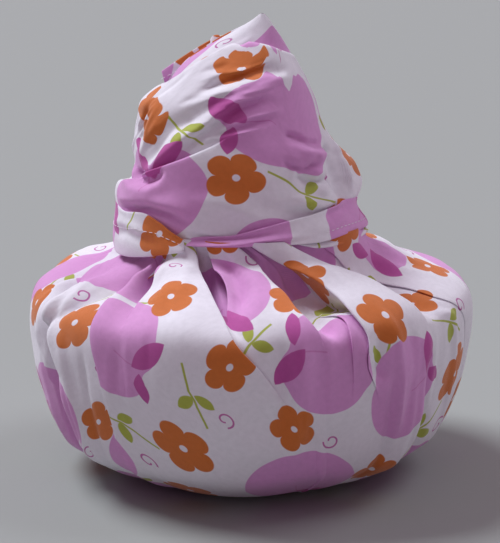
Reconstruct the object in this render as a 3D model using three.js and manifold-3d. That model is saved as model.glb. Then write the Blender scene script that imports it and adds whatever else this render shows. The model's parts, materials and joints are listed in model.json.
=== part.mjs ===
// A furoshiki wrap: one square of printed cotton drawn up round a wide bowl. The cloth runs under the
// bundle, up its side in knife pleats, over the brim and in to a gathered neck. Its corners are wound
// into a turban knob above the neck, and one hemmed edge is passed round the neck as a collar.
//
// Frame: millimetres, +Z up, the front faces -Y, and the origin is the middle of the footprint on the
// ground. Azimuths are in degrees: 0 is the front, 90 is the right side (+X) and 180 is the back.
import * as THREE from "three";
import { mergeVertices } from "three/addons/utils/BufferGeometryUtils.js";
import Module from "manifold-3d";

const wasm = await Module();
wasm.setup();

// ---------------------------------------------------------------- driving dimensions

const PRINTED_COTTON = { color: 0xd9b7dc, roughness: 0.85, metalness: 0 };
const AXIS_OFFSET = { x: 0.2, y: 0.4 }; // where the bowl's axis stands from the middle of the footprint
const RISER_HALF_ANGLE = 0.35; // half the angle that a pleat's riser takes, in degrees
const COLUMN_SPACING = 4.5; // degrees between the columns that carry a panel of cloth
const BODY_ROWS = 28; // rows from the flat bottom up to the throat

// The meridian of the bundle, from the edge of its flat bottom to the throat inside the knob.
const MERIDIAN = [
  { at: "rest", radius: 38, height: 0 },
  { at: "heel", radius: 60, height: 3.3 },
  { at: "foot", radius: 76, height: 11.5 },
  { at: "turn", radius: 87, height: 20.5 },
  { at: "waist", radius: 95, height: 44 },
  { at: "belly", radius: 98, height: 69 },
  { at: "brim", radius: 96, height: 80 },
  { at: "shoulder", radius: 87, height: 86 },
  { at: "slope", radius: 68, height: 91.5 },
  { at: "neck", radius: 54, height: 97 },
  { at: "throat", radius: 42, height: 105 },
];

// Each pleat's figures are given at these five levels, from the top down.
const PLEAT_LEVELS = ["neck", "slope", "brim", "waist", "foot"];

// The pleats round the bundle. lap is 1 where the upper layer comes from the lower azimuth, -1 where
// it comes from the higher one, and 0 for a soft ridge (its lip is above the cloth) or gully (below).
// lip is how high the upper layer stands, dip how deep the layer under it lies, both in millimetres,
// and puff is the crown of the panel that follows at higher azimuths.
const PLEATS = [
  { name: "back_left_lap", lap: 1, azimuth: [-172, -170, -167, -166, -165],
    lip: [4, 5, 2, 1.2, 0], dip: [7, 7, 3, 1.5, 0], puff: 1 },
  { name: "back_left_roll", lap: -1, azimuth: [-156, -153, -151, -150, -150],
    lip: [4, 6, 2.8, 1.5, 0.3], dip: [6, 7, 3, 1.5, 0], puff: 1 },
  { name: "rear_left_gully", lap: 0, azimuth: [-138, -136, -134, -133, -133],
    lip: [-6, -6, -1.5, -0.5, 0], dip: [6, 6, 1.5, 0.5, 0], puff: 1 },
  { name: "rear_left_crown", lap: 0, azimuth: [-118, -116, -114, -114, -114],
    lip: [3, 5, 4, 1, 0], dip: [-3, -5, -4, -1, 0], puff: 0 },
  { name: "left_side_lap", lap: 1, azimuth: [-96, -95, -94, -94, -95],
    lip: [3, 4, 2.5, 2, 0], dip: [5, 5, 3, 1.5, 0], puff: 1 },
  { name: "left_tuck", lap: -1, azimuth: [-63, -65, -65, -60, -66],
    lip: [3, 4, 3.5, 2.5, 0.5], dip: [5, 5, 3.5, 3, 0.5], puff: 0 },
  { name: "left_crease", lap: 1, azimuth: [-54, -56, -56, -51, -57],
    lip: [2, 2.5, 2, 2, 0.5], dip: [3, 3, 2.5, 2, 0.5], puff: 0.5 },
  { name: "left_lap", lap: -1, azimuth: [-42, -46, -44, -39, -40],
    lip: [5, 6, 3.5, 2.5, 1], dip: [4, 3, 2.5, 2, 0.5], puff: 0 },
  { name: "left_gully", lap: 0, azimuth: [-36, -40, -38, -32, -33],
    lip: [-8, -8, -1, 0, 0], dip: [8, 8, 1, 0, 0], puff: 3 },
  { name: "front_left_lap", lap: 1, azimuth: [-22, -14, -4, 15.5, 18],
    lip: [5, 6, 3.5, 0, 0], dip: [9, 9, 4.5, 0, 0], puff: 0 },
  { name: "centre_roll", lap: -1, azimuth: [-14, -8, 2, 18, 20.5],
    lip: [6, 5, 0.5, 0, 0], dip: [7, 5, 0.5, 0, 0], puff: 2 },
  { name: "centre_lap", lap: 1, azimuth: [1, 12, 18.5, 20.5, 23],
    lip: [5, 6, 2.5, 0.3, 0], dip: [10, 11, 3, 0.3, 0], puff: 0 },
  { name: "front_gully", lap: 0, azimuth: [6, 18.5, 22, 23.5, 27],
    lip: [-10, -12, -3, -1, 0], dip: [10, 12, 3, 1, 0], puff: 0 },
  { name: "front_right_lap", lap: -1, azimuth: [15, 26, 25.5, 26.5, 30.5],
    lip: [5, 6, 4, 3, 0.6], dip: [10, 11, 3.5, 2, 0.4], puff: 0.5 },
  { name: "pocket_lap", lap: -1, azimuth: [25, 31, 30.5, 33, 36],
    lip: [1, 2, 3, 2.5, 0], dip: [0, 1, 2, 2, 0], puff: 1.5 },
  { name: "right_lap", lap: 1, azimuth: [41, 50, 52, 53, 54],
    lip: [5, 6, 3, 0.5, 0], dip: [8, 9, 3, 0.3, 0], puff: 0 },
  { name: "right_gully", lap: 0, azimuth: [49, 54.5, 56, 57, 58],
    lip: [-9, -9, -2, -0.5, 0], dip: [9, 9, 2, 0.5, 0], puff: 0 },
  { name: "right_turn", lap: 1, azimuth: [60, 61, 61.5, 65, 67],
    lip: [3, 4, 3.5, 2.5, 0], dip: [3, 3, 3, 2, 0], puff: 1 },
  { name: "right_side_roll", lap: 0, azimuth: [80, 82, 84, 86, 87],
    lip: [3, 4, 2.5, 0.8, 0], dip: [-3, -4, -2.5, -0.8, 0], puff: 0 },
  { name: "rear_right_lap", lap: -1, azimuth: [99, 101, 103, 105, 106],
    lip: [4, 5, 3.5, 2.5, 0.5], dip: [6, 6, 3.5, 2, 0], puff: 1.5 },
  { name: "rear_right_gully", lap: 0, azimuth: [116, 117, 119, 120, 121],
    lip: [-7, -8, -2, -0.5, 0], dip: [7, 8, 2, 0.5, 0], puff: 1.5 },
  { name: "back_right_lap", lap: 1, azimuth: [134, 136, 139, 140, 141],
    lip: [5, 6, 3, 1.8, 0.3], dip: [7, 7, 3.5, 2, 0], puff: 1 },
  { name: "back_crease", lap: -1, azimuth: [152, 155, 157, 158, 159],
    lip: [3, 4, 2, 1, 0], dip: [4, 4, 2.5, 1, 0], puff: 1 },
];

// The knob's plain form: level sections, each an ellipse about its own centre.
const KNOB_SECTIONS = [
  { height: 90, centreX: -3, centreY: 0, halfX: 49, halfY: 46 },
  { height: 104, centreX: -4, centreY: 0, halfX: 50.5, halfY: 47 },
  { height: 113, centreX: -5, centreY: 0, halfX: 50.5, halfY: 47 },
  { height: 122, centreX: -5.5, centreY: 0, halfX: 50, halfY: 46.5 },
  { height: 128, centreX: -5.5, centreY: 0, halfX: 49, halfY: 45.5 },
  { height: 133, centreX: -5, centreY: 0, halfX: 46.5, halfY: 44 },
  { height: 139, centreX: -5, centreY: 0, halfX: 45.8, halfY: 42.5 },
  { height: 148, centreX: -7.3, centreY: 0.5, halfX: 43.7, halfY: 40 },
  { height: 157, centreX: -9, centreY: 1, halfX: 41, halfY: 36.5 },
  { height: 166, centreX: -8.8, centreY: 2, halfX: 38, halfY: 33 },
  { height: 174, centreX: -6, centreY: 2, halfX: 32, halfY: 28 },
  { height: 182, centreX: -4, centreY: 2, halfX: 25.5, halfY: 21.5 },
  { height: 190, centreX: -1.5, centreY: 2, halfX: 17.5, halfY: 14 },
  { height: 196, centreX: 1, centreY: 2, halfX: 10, halfY: 8 },
];

// The cap of cloth that stands out of the wound layers and ends in the knob's peak.
const CAP_SECTIONS = [
  { height: 160, centreX: -8, centreY: 3, halfX: 34, halfY: 28 },
  { height: 172, centreX: -6, centreY: 3, halfX: 30, halfY: 24 },
  { height: 182, centreX: -4, centreY: 3, halfX: 24.5, halfY: 17.5 },
  { height: 190, centreX: -0.5, centreY: 3, halfX: 16.5, halfY: 10.5 },
  { height: 196, centreX: 3, centreY: 3, halfX: 9.5, halfY: 6 },
  { height: 200.5, centreX: 5.2, centreY: 3, halfX: 4.2, halfY: 2.8 },
  { height: 203.5, centreX: 5.8, centreY: 3, halfX: 1.2, halfY: 1 },
];

// Soft lobes and hollows on the knob, each a smooth bump about its own azimuth and height.
const KNOB_LOBES = [
  { name: "right_lobe", azimuth: 104, height: 131, spreadAzimuth: 26, spreadHeight: 11.5, lift: 9 },
  { name: "right_groove", azimuth: 80, height: 137, spreadAzimuth: 7, spreadHeight: 10, lift: -2.5 },
  { name: "right_knuckle", azimuth: 55, height: 140, spreadAzimuth: 14, spreadHeight: 7, lift: 2.5 },
  { name: "back_lobe", azimuth: 165, height: 143, spreadAzimuth: 28, spreadHeight: 13, lift: 4 },
  { name: "back_groove", azimuth: -150, height: 150, spreadAzimuth: 10, spreadHeight: 15, lift: -3 },
];

// The wound layers, from the innermost out: where each one's upper edge runs round the knob, and how
// far it stands off the knob's plain form. Below zero it has slipped under its neighbour.
const UPPER_WRAP_EDGE = [
  { azimuth: -150, height: 179, stand: 0 },
  { azimuth: -110, height: 172, stand: 0 },
  { azimuth: -78, height: 174, stand: 0 },
  { azimuth: -47, height: 186.5, stand: 0 },
  { azimuth: -28, height: 191.5, stand: 0 },
  { azimuth: 0, height: 190.5, stand: 0 },
  { azimuth: 35, height: 189, stand: 0 },
  { azimuth: 95, height: 184, stand: 0 },
  { azimuth: 150, height: 187, stand: 0 },
];
const LOWER_WRAP_EDGE = [
  { azimuth: -150, height: 132, stand: -3 },
  { azimuth: -115, height: 128, stand: 2.5 },
  { azimuth: -87, height: 130, stand: 4 },
  { azimuth: -66, height: 135.5, stand: 4.2 },
  { azimuth: -41, height: 143, stand: 3.6 },
  { azimuth: -18, height: 149.5, stand: 3 },
  { azimuth: 4, height: 155.5, stand: 0.3 },
  { azimuth: 30, height: 150, stand: -3 },
  { azimuth: 90, height: 140, stand: -3 },
  { azimuth: 150, height: 136, stand: -3 },
];

// The collar: the cloth's hemmed edge passed round the neck. It is in two runs whose ends cross at
// the front, the left one outermost.
const COLLAR_RUNS = [
  { name: "collar_main", edge: [
    { azimuth: -150, low: 102, high: 120, stand: 4 },
    { azimuth: -95, low: 101, high: 120, stand: 2.5 },
    { azimuth: -60, low: 104, high: 114, stand: 1.5 },
    { azimuth: -20, low: 107, high: 110, stand: 2 },
    { azimuth: 2, low: 109, high: 114, stand: 2.6 },
    { azimuth: 27, low: 108.5, high: 119, stand: 3 },
    { azimuth: 52, low: 108, high: 122.5, stand: 3 },
    { azimuth: 70, low: 107.5, high: 121, stand: 3 },
    { azimuth: 95, low: 104.5, high: 117, stand: 3.4 },
    { azimuth: 150, low: 102, high: 119, stand: 4.5 },
  ] },
  { name: "collar_end", edge: [
    { azimuth: -165, low: 108, high: 112, stand: -3 },
    { azimuth: -125, low: 101, high: 120, stand: 3.5 },
    { azimuth: -90, low: 99, high: 122, stand: 4 },
    { azimuth: -66, low: 100, high: 119.5, stand: 4 },
    { azimuth: -46, low: 102.5, high: 122, stand: 4 },
    { azimuth: -30, low: 106.5, high: 120, stand: 4 },
    { azimuth: -23, low: 108.5, high: 116, stand: 3.4 },
    { azimuth: -14, low: 110, high: 113, stand: -3 },
    { azimuth: 60, low: 110, high: 113, stand: -3 },
    { azimuth: 150, low: 108, high: 112, stand: -3 },
  ] },
];
const COLLAR_FLARE = 2.5; // how much further the collar's lower edge stands off than its upper one

// Two free corners of the hemmed cloth that stand beside the cap: outlines across the front view.
const CORNER_LEAVES = [
  { name: "outer_leaf", back: 9, thickness: 2.4, lean: -0.12, outline: [
    { x: -39, z: 176.5 }, { x: -25, z: 186 }, { x: -14.5, z: 191.8 }, { x: -8, z: 193.2 },
    { x: 3, z: 180 }, { x: -9, z: 166 }, { x: -36, z: 166.5 },
  ] },
  { name: "inner_leaf", back: 4.5, thickness: 2.4, lean: -0.08, outline: [
    { x: -34, z: 175 }, { x: -27.5, z: 182.5 }, { x: -11, z: 193.3 }, { x: -1.5, z: 198 },
    { x: 6, z: 190 }, { x: 2, z: 174 }, { x: -18, z: 166 },
  ] },
];

// ---------------------------------------------------------------- small tools

const radians = THREE.MathUtils.degToRad;
const smoothStep = (t) => THREE.MathUtils.smoothstep(t, 0, 1);

// A smooth curve through a table's rows: value against key, both columns of the table. The slope at
// a row is its neighbours' mean slope. With a period the table closes on itself.
function track(rows, key, value, period = 0) {
  const moved = (row, by) => ({ [key]: row[key] + by, [value]: row[value] });
  const knots = period
    ? [...rows.slice(-2).map((r) => moved(r, -period)), ...rows, ...rows.slice(0, 2).map((r) => moved(r, period))]
    : rows;
  const slope = (i) => {
    const a = knots[Math.max(i - 1, 0)];
    const b = knots[Math.min(i + 1, knots.length - 1)];
    return (b[value] - a[value]) / (b[key] - a[key]);
  };
  return (x) => {
    let i = knots.findIndex((k) => k[key] > x) - 1;
    if (i === -1) return knots[0][value];
    if (i < -1) return knots[knots.length - 1][value];
    const width = knots[i + 1][key] - knots[i][key];
    const t = (x - knots[i][key]) / width;
    const [a, b] = [knots[i][value], knots[i + 1][value]];
    const [da, db] = [slope(i) * width, slope(i + 1) * width];
    return a + t * (da + t * (3 * (b - a) - 2 * da - db + t * (2 * (a - b) + da + db)));
  };
}

// A closed solid from rings of points, all of one length, capped by a point at each end.
function loft(rings, start, end) {
  const count = rings[0].length;
  const points = [start, ...rings.flat(), end];
  const at = (ring, i) => 1 + ring * count + (i % count);
  const faces = [];
  for (let i = 0; i < count; i++) {
    faces.push(0, at(0, i + 1), at(0, i));
    faces.push(points.length - 1, at(rings.length - 1, i), at(rings.length - 1, i + 1));
    for (let ring = 0; ring + 1 < rings.length; ring++) {
      faces.push(at(ring, i), at(ring, i + 1), at(ring + 1, i + 1));
      faces.push(at(ring, i), at(ring + 1, i + 1), at(ring + 1, i));
    }
  }
  return new THREE.BufferGeometry().setFromPoints(points).setIndex(faces);
}

function toManifold(geometry) {
  const bare = geometry.clone();
  bare.deleteAttribute("normal");
  bare.deleteAttribute("uv");
  const merged = mergeVertices(bare, 1e-4);
  const vertProperties = merged.attributes.position.array;
  return new wasm.Manifold(new wasm.Mesh({ numProp: 3, vertProperties, triVerts: new Uint32Array(merged.index.array) }));
}

function toGeometry(solid) {
  const { vertProperties, triVerts } = solid.getMesh();
  const geometry = new THREE.BufferGeometry();
  geometry.setAttribute("position", new THREE.BufferAttribute(vertProperties, 3));
  geometry.setIndex(new THREE.BufferAttribute(triVerts, 1));
  return geometry;
}

// ---------------------------------------------------------------- the bundle

const arcs = MERIDIAN.reduce((list, row, i) => {
  const before = MERIDIAN[Math.max(i - 1, 0)];
  const step = Math.hypot(row.radius - before.radius, row.height - before.height);
  return [...list, { ...row, arc: (list.at(-1)?.arc ?? 0) + step }];
}, []);
const radiusAt = track(arcs, "arc", "radius");
const heightAt = track(arcs, "arc", "height");
const arcOf = (level) => arcs.find((row) => row.at === level).arc;
const THROAT_ARC = arcOf("throat");

// A pleat's figure along the meridian. The lift dies away between the foot and the flat bottom.
function pleatTrack(pleat, column, atRest) {
  const rows = PLEAT_LEVELS.map((level, i) => ({ arc: arcOf(level), value: pleat[column][i] })).reverse();
  return track([{ arc: arcOf("rest"), value: atRest ?? rows[0].value }, ...rows], "arc", "value");
}

function makePleat(pleat) {
  const lip = pleatTrack(pleat, "lip", 0);
  const dip = pleatTrack(pleat, "dip", 0);
  const below = (arc) => -dip(arc);
  return {
    azimuth: pleatTrack(pleat, "azimuth"),
    low: pleat.lap === -1 ? below : lip, // the cloth's lift on the lower-azimuth side of the edge
    high: pleat.lap === 1 ? below : lip,
    puff: pleat.puff,
  };
}

// The columns round the bundle, each an azimuth and a lift that change along the meridian.
function bundleColumns() {
  const pleats = PLEATS.map(makePleat);
  return pleats.flatMap((pleat, i) => {
    const next = pleats[(i + 1) % pleats.length];
    const turn = i + 1 === pleats.length ? 360 : 0;
    const width = next.azimuth(arcOf("brim")) + turn - pleat.azimuth(arcOf("brim"));
    const steps = Math.max(Math.round(width / COLUMN_SPACING), 3);
    return Array.from({ length: steps + 1 }, (_, step) => step / steps).map((t) => (arc) => {
      const from = pleat.azimuth(arc) + RISER_HALF_ANGLE;
      const to = next.azimuth(arc) + turn - RISER_HALF_ANGLE;
      const crown = pleat.puff * 4 * t * (1 - t) * smoothStep(arc / arcOf("waist"));
      return {
        azimuth: THREE.MathUtils.lerp(from, to, t),
        lift: THREE.MathUtils.lerp(pleat.high(arc), next.low(arc), smoothStep(t)) + crown,
      };
    });
  });
}

// A point of the bundle, lifted off the plain meridian along its normal.
function bundlePoint(arc, azimuth, lift) {
  const step = 0.5;
  const [ahead, behind] = [Math.min(arc + step, THROAT_ARC), Math.max(arc - step, 0)];
  const rise = heightAt(ahead) - heightAt(behind);
  const run = radiusAt(ahead) - radiusAt(behind);
  const length = Math.hypot(rise, run);
  const radius = radiusAt(arc) + (lift * rise) / length;
  const height = Math.max(heightAt(arc) - (lift * run) / length, 0);
  const angle = radians(azimuth);
  return new THREE.Vector3(radius * Math.sin(angle), -radius * Math.cos(angle), height);
}

function makeBundle() {
  const columns = bundleColumns();
  const rings = Array.from({ length: BODY_ROWS }, (_, row) => {
    const arc = (THROAT_ARC * row) / (BODY_ROWS - 1);
    return columns.map((column) => {
      const { azimuth, lift } = column(arc);
      return bundlePoint(arc, azimuth, lift);
    });
  });
  return loft(rings, new THREE.Vector3(0, 0, 0), new THREE.Vector3(0, 0, MERIDIAN.at(-1).height));
}

// ---------------------------------------------------------------- the knob

const KNOB_COLUMNS = 56;
const azimuthOf = (column, count) => -180 + (360 * column) / count;

function sectionPoint(sections, azimuth, height, stand) {
  const [cx, cy, hx, hy] = sections(height);
  const angle = radians(azimuth);
  return new THREE.Vector3(cx + (hx + stand) * Math.sin(angle), cy - (hy + stand) * Math.cos(angle), height);
}

function sectionTracks(rows) {
  const tracks = ["centreX", "centreY", "halfX", "halfY"].map((column) => track(rows, "height", column));
  return (height) => tracks.map((at) => at(height));
}

const knobForm = sectionTracks(KNOB_SECTIONS);
const capForm = sectionTracks(CAP_SECTIONS);

function lobesAt(azimuth, height) {
  return KNOB_LOBES.reduce((sum, lobe) => {
    const around = THREE.MathUtils.euclideanModulo(azimuth - lobe.azimuth + 180, 360) - 180;
    const across = (around / lobe.spreadAzimuth) ** 2 + ((height - lobe.height) / lobe.spreadHeight) ** 2;
    return sum + lobe.lift * Math.exp(-across);
  }, 0);
}

// A wound layer: it rises from low to high round the knob and is closed over at its lip.
function makeWrap({ low, high, stand, flare = 0, rows, sink = 0 }) {
  const rings = Array.from({ length: rows }, (_, row) => {
    const t = row / (rows - 1);
    return Array.from({ length: KNOB_COLUMNS }, (_, column) => {
      const azimuth = azimuthOf(column, KNOB_COLUMNS);
      const height = THREE.MathUtils.lerp(low(azimuth), high(azimuth), t);
      const off = stand(azimuth) + flare * (1 - t) + lobesAt(azimuth, height);
      return sectionPoint(knobForm, azimuth, height, off);
    });
  });
  const middle = (ring) => rings.at(ring).reduce((sum, p) => sum.add(p), new THREE.Vector3()).divideScalar(KNOB_COLUMNS);
  const top = middle(-1);
  top.z -= sink;
  return loft(rings, middle(0), top);
}

const around = (edge, column) => track(edge, "azimuth", column, 360);
const KNOB_FOOT = () => KNOB_SECTIONS[0].height;

function makeUpperWrap() {
  return makeWrap({
    low: KNOB_FOOT,
    high: around(UPPER_WRAP_EDGE, "height"),
    stand: around(UPPER_WRAP_EDGE, "stand"),
    rows: 15,
    sink: 8,
  });
}

function makeLowerWrap() {
  return makeWrap({
    low: () => 104,
    high: around(LOWER_WRAP_EDGE, "height"),
    stand: around(LOWER_WRAP_EDGE, "stand"),
    rows: 7,
    sink: 6,
  });
}

function makeCollarRun({ edge }) {
  return makeWrap({
    low: around(edge, "low"),
    high: around(edge, "high"),
    stand: around(edge, "stand"),
    flare: COLLAR_FLARE,
    rows: 4,
    sink: 3,
  });
}

function makeCap() {
  const columns = 30;
  const rows = 10;
  const [foot, peak] = [CAP_SECTIONS[0].height, CAP_SECTIONS.at(-1).height];
  const rings = Array.from({ length: rows }, (_, row) => {
    const height = THREE.MathUtils.lerp(foot, peak, row / (rows - 1));
    return Array.from({ length: columns }, (_, i) => sectionPoint(capForm, azimuthOf(i, columns), height, 0));
  });
  const middle = (row) => new THREE.Vector3(row.centreX, row.centreY, row.height);
  return loft(rings, middle(CAP_SECTIONS[0]), middle(CAP_SECTIONS.at(-1)).add(new THREE.Vector3(0, 0, 0.5)));
}

// A flat leaf of hemmed cloth that stands behind the cap and leans back as it rises.
function makeLeaf({ outline, back, thickness, lean }) {
  const shape = new THREE.Shape(outline.map(({ x, z }) => new THREE.Vector2(x, z)));
  const leaf = new THREE.ExtrudeGeometry(shape, { depth: thickness, bevelEnabled: false });
  leaf.rotateX(Math.PI / 2).translate(0, back + thickness, 0);
  const foot = Math.min(...outline.map(({ z }) => z));
  const position = leaf.attributes.position;
  for (let i = 0; i < position.count; i++)
    position.setY(i, position.getY(i) - lean * (position.getZ(i) - foot));
  return leaf;
}

// ---------------------------------------------------------------- the wrap

const forms = [
  makeBundle(),
  makeUpperWrap(),
  makeLowerWrap(),
  makeCap(),
  ...COLLAR_RUNS.map(makeCollarRun),
  ...CORNER_LEAVES.map(makeLeaf),
];
const cloth = forms.map(toManifold).reduce((whole, form) => whole.add(form));
const wrap = new THREE.Mesh(toGeometry(cloth), new THREE.MeshStandardMaterial(PRINTED_COTTON));
wrap.name = "wrap_cloth";
wrap.position.set(AXIS_OFFSET.x, AXIS_OFFSET.y, 0);

const furoshiki = new THREE.Group();
furoshiki.name = "furoshiki_wrap";
furoshiki.add(wrap);

export default furoshiki;
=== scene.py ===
# %% [markdown]
# # A furoshiki wrap in printed cotton
#
# A furoshiki is one square of cloth. Here it is drawn up round a wide bowl, gathered in knife pleats at
# a neck, and its corners are wound into a turban knob. A hemmed edge goes round the neck as a collar.
#
# The packed solid already has the bundle's size, pleats and layers. This script dresses it in thin
# cloth: a fine sheet with rolled folds on every pleat, wound sheets on the knob, hems with their
# stitches, and a print that runs over the cloth as it does over a real one, cut where a pleat hides it.
#
# A cloth simulation could drape a square over a bowl, but it can't be told where each pleat goes, and it
# can't tie a knot. So the folds are laid one by one from tables, as a maker lays pleats by hand.
#
# Lengths are in millimetres until a mesh is made, azimuths are in degrees, and the front faces -Y.

import json
import math

import bmesh
import bpy
import numpy as np
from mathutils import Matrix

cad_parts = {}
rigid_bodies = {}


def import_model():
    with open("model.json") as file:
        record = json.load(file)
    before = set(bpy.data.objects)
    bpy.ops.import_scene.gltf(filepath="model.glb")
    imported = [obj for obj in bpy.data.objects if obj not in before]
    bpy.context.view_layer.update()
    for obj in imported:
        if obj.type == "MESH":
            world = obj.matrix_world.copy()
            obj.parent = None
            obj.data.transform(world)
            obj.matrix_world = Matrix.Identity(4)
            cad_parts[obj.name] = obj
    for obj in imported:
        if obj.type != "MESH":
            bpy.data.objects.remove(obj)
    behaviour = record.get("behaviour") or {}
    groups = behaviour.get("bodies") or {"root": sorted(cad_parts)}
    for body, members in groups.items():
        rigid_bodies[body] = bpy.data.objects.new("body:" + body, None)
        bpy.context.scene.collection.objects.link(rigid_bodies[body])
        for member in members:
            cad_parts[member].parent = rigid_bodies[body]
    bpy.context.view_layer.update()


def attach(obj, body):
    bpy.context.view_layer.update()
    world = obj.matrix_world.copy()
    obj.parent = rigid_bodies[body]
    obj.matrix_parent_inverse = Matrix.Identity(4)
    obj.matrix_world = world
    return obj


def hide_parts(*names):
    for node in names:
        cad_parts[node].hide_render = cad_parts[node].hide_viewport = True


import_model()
scene = bpy.context.scene
MM = 0.001
AXIS_OFFSET = np.array([0.2, 0.4, 0.0])  # the bowl's axis, from the middle of the footprint

# %% [markdown]
# ## The camera
#
# The camera stands almost a metre away, 13 degrees above the table's level. A long lens keeps the
# perspective mild. `lens` could be set by eye, but it follows from the distance: one pixel covers
# 0.45 mm at the bowl's axis, so a length in the view can be read as a length on the cloth.

# %% Set up the camera
IMAGE_WIDTH = 500  # pixels
PIXEL = 0.45  # millimetres that a pixel covers at the axis
CAMERA_DISTANCE = 930.0
CAMERA_ELEVATION = math.radians(13.0)
AIM = np.array([0.65, 0.4, 88.0])  # the point in the middle of the view
SENSOR = 36.0

lens_data = bpy.data.cameras.new("long_lens")
lens_data.sensor_fit = "HORIZONTAL"
lens_data.sensor_width = SENSOR
lens_data.lens = SENSOR * CAMERA_DISTANCE / (PIXEL * IMAGE_WIDTH)
camera = bpy.data.objects.new("camera", lens_data)
scene.collection.objects.link(camera)
away = np.array([0.0, -math.cos(CAMERA_ELEVATION), math.sin(CAMERA_ELEVATION)])
camera.location = (AIM + CAMERA_DISTANCE * away) * MM
camera.rotation_euler = (math.pi / 2 - CAMERA_ELEVATION, 0.0, 0.0)
scene.camera = camera
print("lens", round(lens_data.lens, 1), "mm")

# %% [markdown]
# ## Smooth curves through short tables
#
# Folded cloth has no corners except where it is creased, so every shape below is a short table and a
# smooth curve through its rows. Blender's own curves could do this one line at a time. `track` does it
# for whole arrays, so one call gives a figure in every row of a cloth at once.

# %% Blend smoothly
def ease(t):
    """Rises smoothly from 0 to 1 as t goes from 0 to 1."""
    t = np.clip(t, 0.0, 1.0)
    return t * t * (3.0 - 2.0 * t)


def lerp(a, b, t):
    return a + (b - a) * t


print("eased at a quarter and a half:", ease(0.25), ease(0.5))

# %% Name the figures of a table
def rows_of(names, *rows):
    """A table's rows as dictionaries. names is one string with the columns' names."""
    return [dict(zip(names.split(), row)) for row in rows]


def column_of(rows, name):
    return [row[name] for row in rows]


print(rows_of("height radius", (0, 38), (44, 95)))

# %% Run a smooth curve through a table
def track(keys, values, period=None):
    """A smooth curve through (key, value) rows, closed on itself if it has a period.

    It is a cubic whose slope at a row is the mean slope between the rows on either side."""
    keys, values = np.asarray(keys, float), np.asarray(values, float)
    if period:
        keys = np.concatenate([keys[-2:] - period, keys, keys[:2] + period])
        values = np.concatenate([values[-2:], values, values[:2]])
    slopes = np.gradient(values, keys)
    slopes[1:-1] = (values[2:] - values[:-2]) / (keys[2:] - keys[:-2])

    def at(x):
        x = np.clip(x, keys[0], keys[-1])
        i = np.clip(np.searchsorted(keys, x, side="right") - 1, 0, len(keys) - 2)
        width = keys[i + 1] - keys[i]
        t = (x - keys[i]) / width
        a, b = values[i], values[i + 1]
        da, db = slopes[i] * width, slopes[i + 1] * width
        return a + t * (da + t * (3 * (b - a) - 2 * da - db + t * (2 * (a - b) + da + db)))

    return at


print("half-way up from (0, 0) through (1, 1) to (2, 0):", float(track((0, 1, 2), (0, 1, 0))(0.5)))

# %% [markdown]
# ## From a grid of points to a sheet of cloth
#
# Real cloth is one thin sheet, and so is the model's: a grid whose rows run up the cloth and whose
# columns run round it. Each point also has a place on the flat cloth, kept as a UV map in metres. The
# map could be unwrapped from the finished mesh, but an unwrap doesn't know which cloth a pleat hides.
# The print, the weave and the stitches all read this map, so they keep their size and are cut at a fold.

# %% Make a sheet's mesh
def sheet_mesh(name, points, flat, closed):
    """A smooth mesh over a grid. points is (rows, columns, 3), and flat has the places on the flat cloth.

    A closed sheet joins its last column to its first, so its flat has one column more."""
    rows, columns = points.shape[:2]
    spans = columns if closed else columns - 1
    i, j = np.meshgrid(np.arange(rows - 1), np.arange(spans), indexing="ij")
    steps = ((0, 0), (0, 1), (1, 1), (1, 0))
    quads = np.stack([((i + a) * columns + (j + b) % columns).ravel() for a, b in steps], axis=1)
    places = np.stack([flat[i + a, j + b].reshape(-1, 2) for a, b in steps], axis=1)
    mesh = bpy.data.meshes.new(name)
    mesh.from_pydata(((points.reshape(-1, 3) + AXIS_OFFSET) * MM).tolist(), [], quads.tolist())
    mesh.uv_layers.new(name="flat_cloth").data.foreach_set("uv", (places * MM).ravel())
    mesh.polygons.foreach_set("use_smooth", [True] * len(mesh.polygons))
    weld(mesh)
    piece = bpy.data.objects.new(name, mesh)
    scene.collection.objects.link(piece)
    return piece


def weld(mesh, within=2e-6):
    """Joins points that lie on each other, such as a ring's at its pole."""
    shape = bmesh.new()
    shape.from_mesh(mesh)
    bmesh.ops.remove_doubles(shape, verts=shape.verts, dist=within)
    shape.to_mesh(mesh)
    shape.free()


print("a sheet's places on the flat cloth are kept in the UV map flat_cloth")

# %% Measure along a grid and lay it flat
def lengths_along(points, axis):
    """The running length along the rows (axis 0) or columns (axis 1) of a grid, from 0."""
    steps = np.linalg.norm(np.diff(points, axis=axis), axis=2)
    total = np.cumsum(steps, axis=axis)
    start = np.zeros_like(np.take(total, [0], axis=axis))
    return np.concatenate([start, total], axis=axis)


def lay(x, y, turn, origin):
    """Places on the flat cloth, turned by turn degrees and moved to origin."""
    c, s = math.cos(math.radians(turn)), math.sin(math.radians(turn))
    return np.stack([c * x - s * y + origin[0], s * x + c * y + origin[1]], axis=2)


print("a step of 3 by 4 mm is", lengths_along(np.array([[[0, 0, 0]], [[3, 4, 0]]]), axis=0)[1, 0], "mm long")

# %% Keep the cloth from being too even
WAVES = 7  # how many waves make up an unevenness
WHOLE_TURN = 6.3  # the most that a wave's start is shifted by, in radians


def unevenness(azimuth, along, seed, waves=(3, 12), lengths=(18.0, 50.0)):
    """A gentle relief, mostly between -1 and 1, that closes on itself round the cloth.

    waves is the least and the most waves in a turn, and lengths their lengths along it, in millimetres."""
    random = np.random.default_rng(seed)
    total = np.zeros(np.broadcast(azimuth, along).shape)
    for _ in range(WAVES):
        around_it = random.integers(waves[0], waves[1] + 1) * np.radians(azimuth)
        up_it = 2.0 * math.pi / random.uniform(*lengths) * along
        total += np.sin(around_it + up_it * random.choice([-1, 1]) + random.uniform(0.0, WHOLE_TURN)) / 4.0
    return total


print("unevenness at four bearings:", unevenness(np.array([0, 90, 180, 270]), 0.0, seed=1).round(2))

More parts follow.
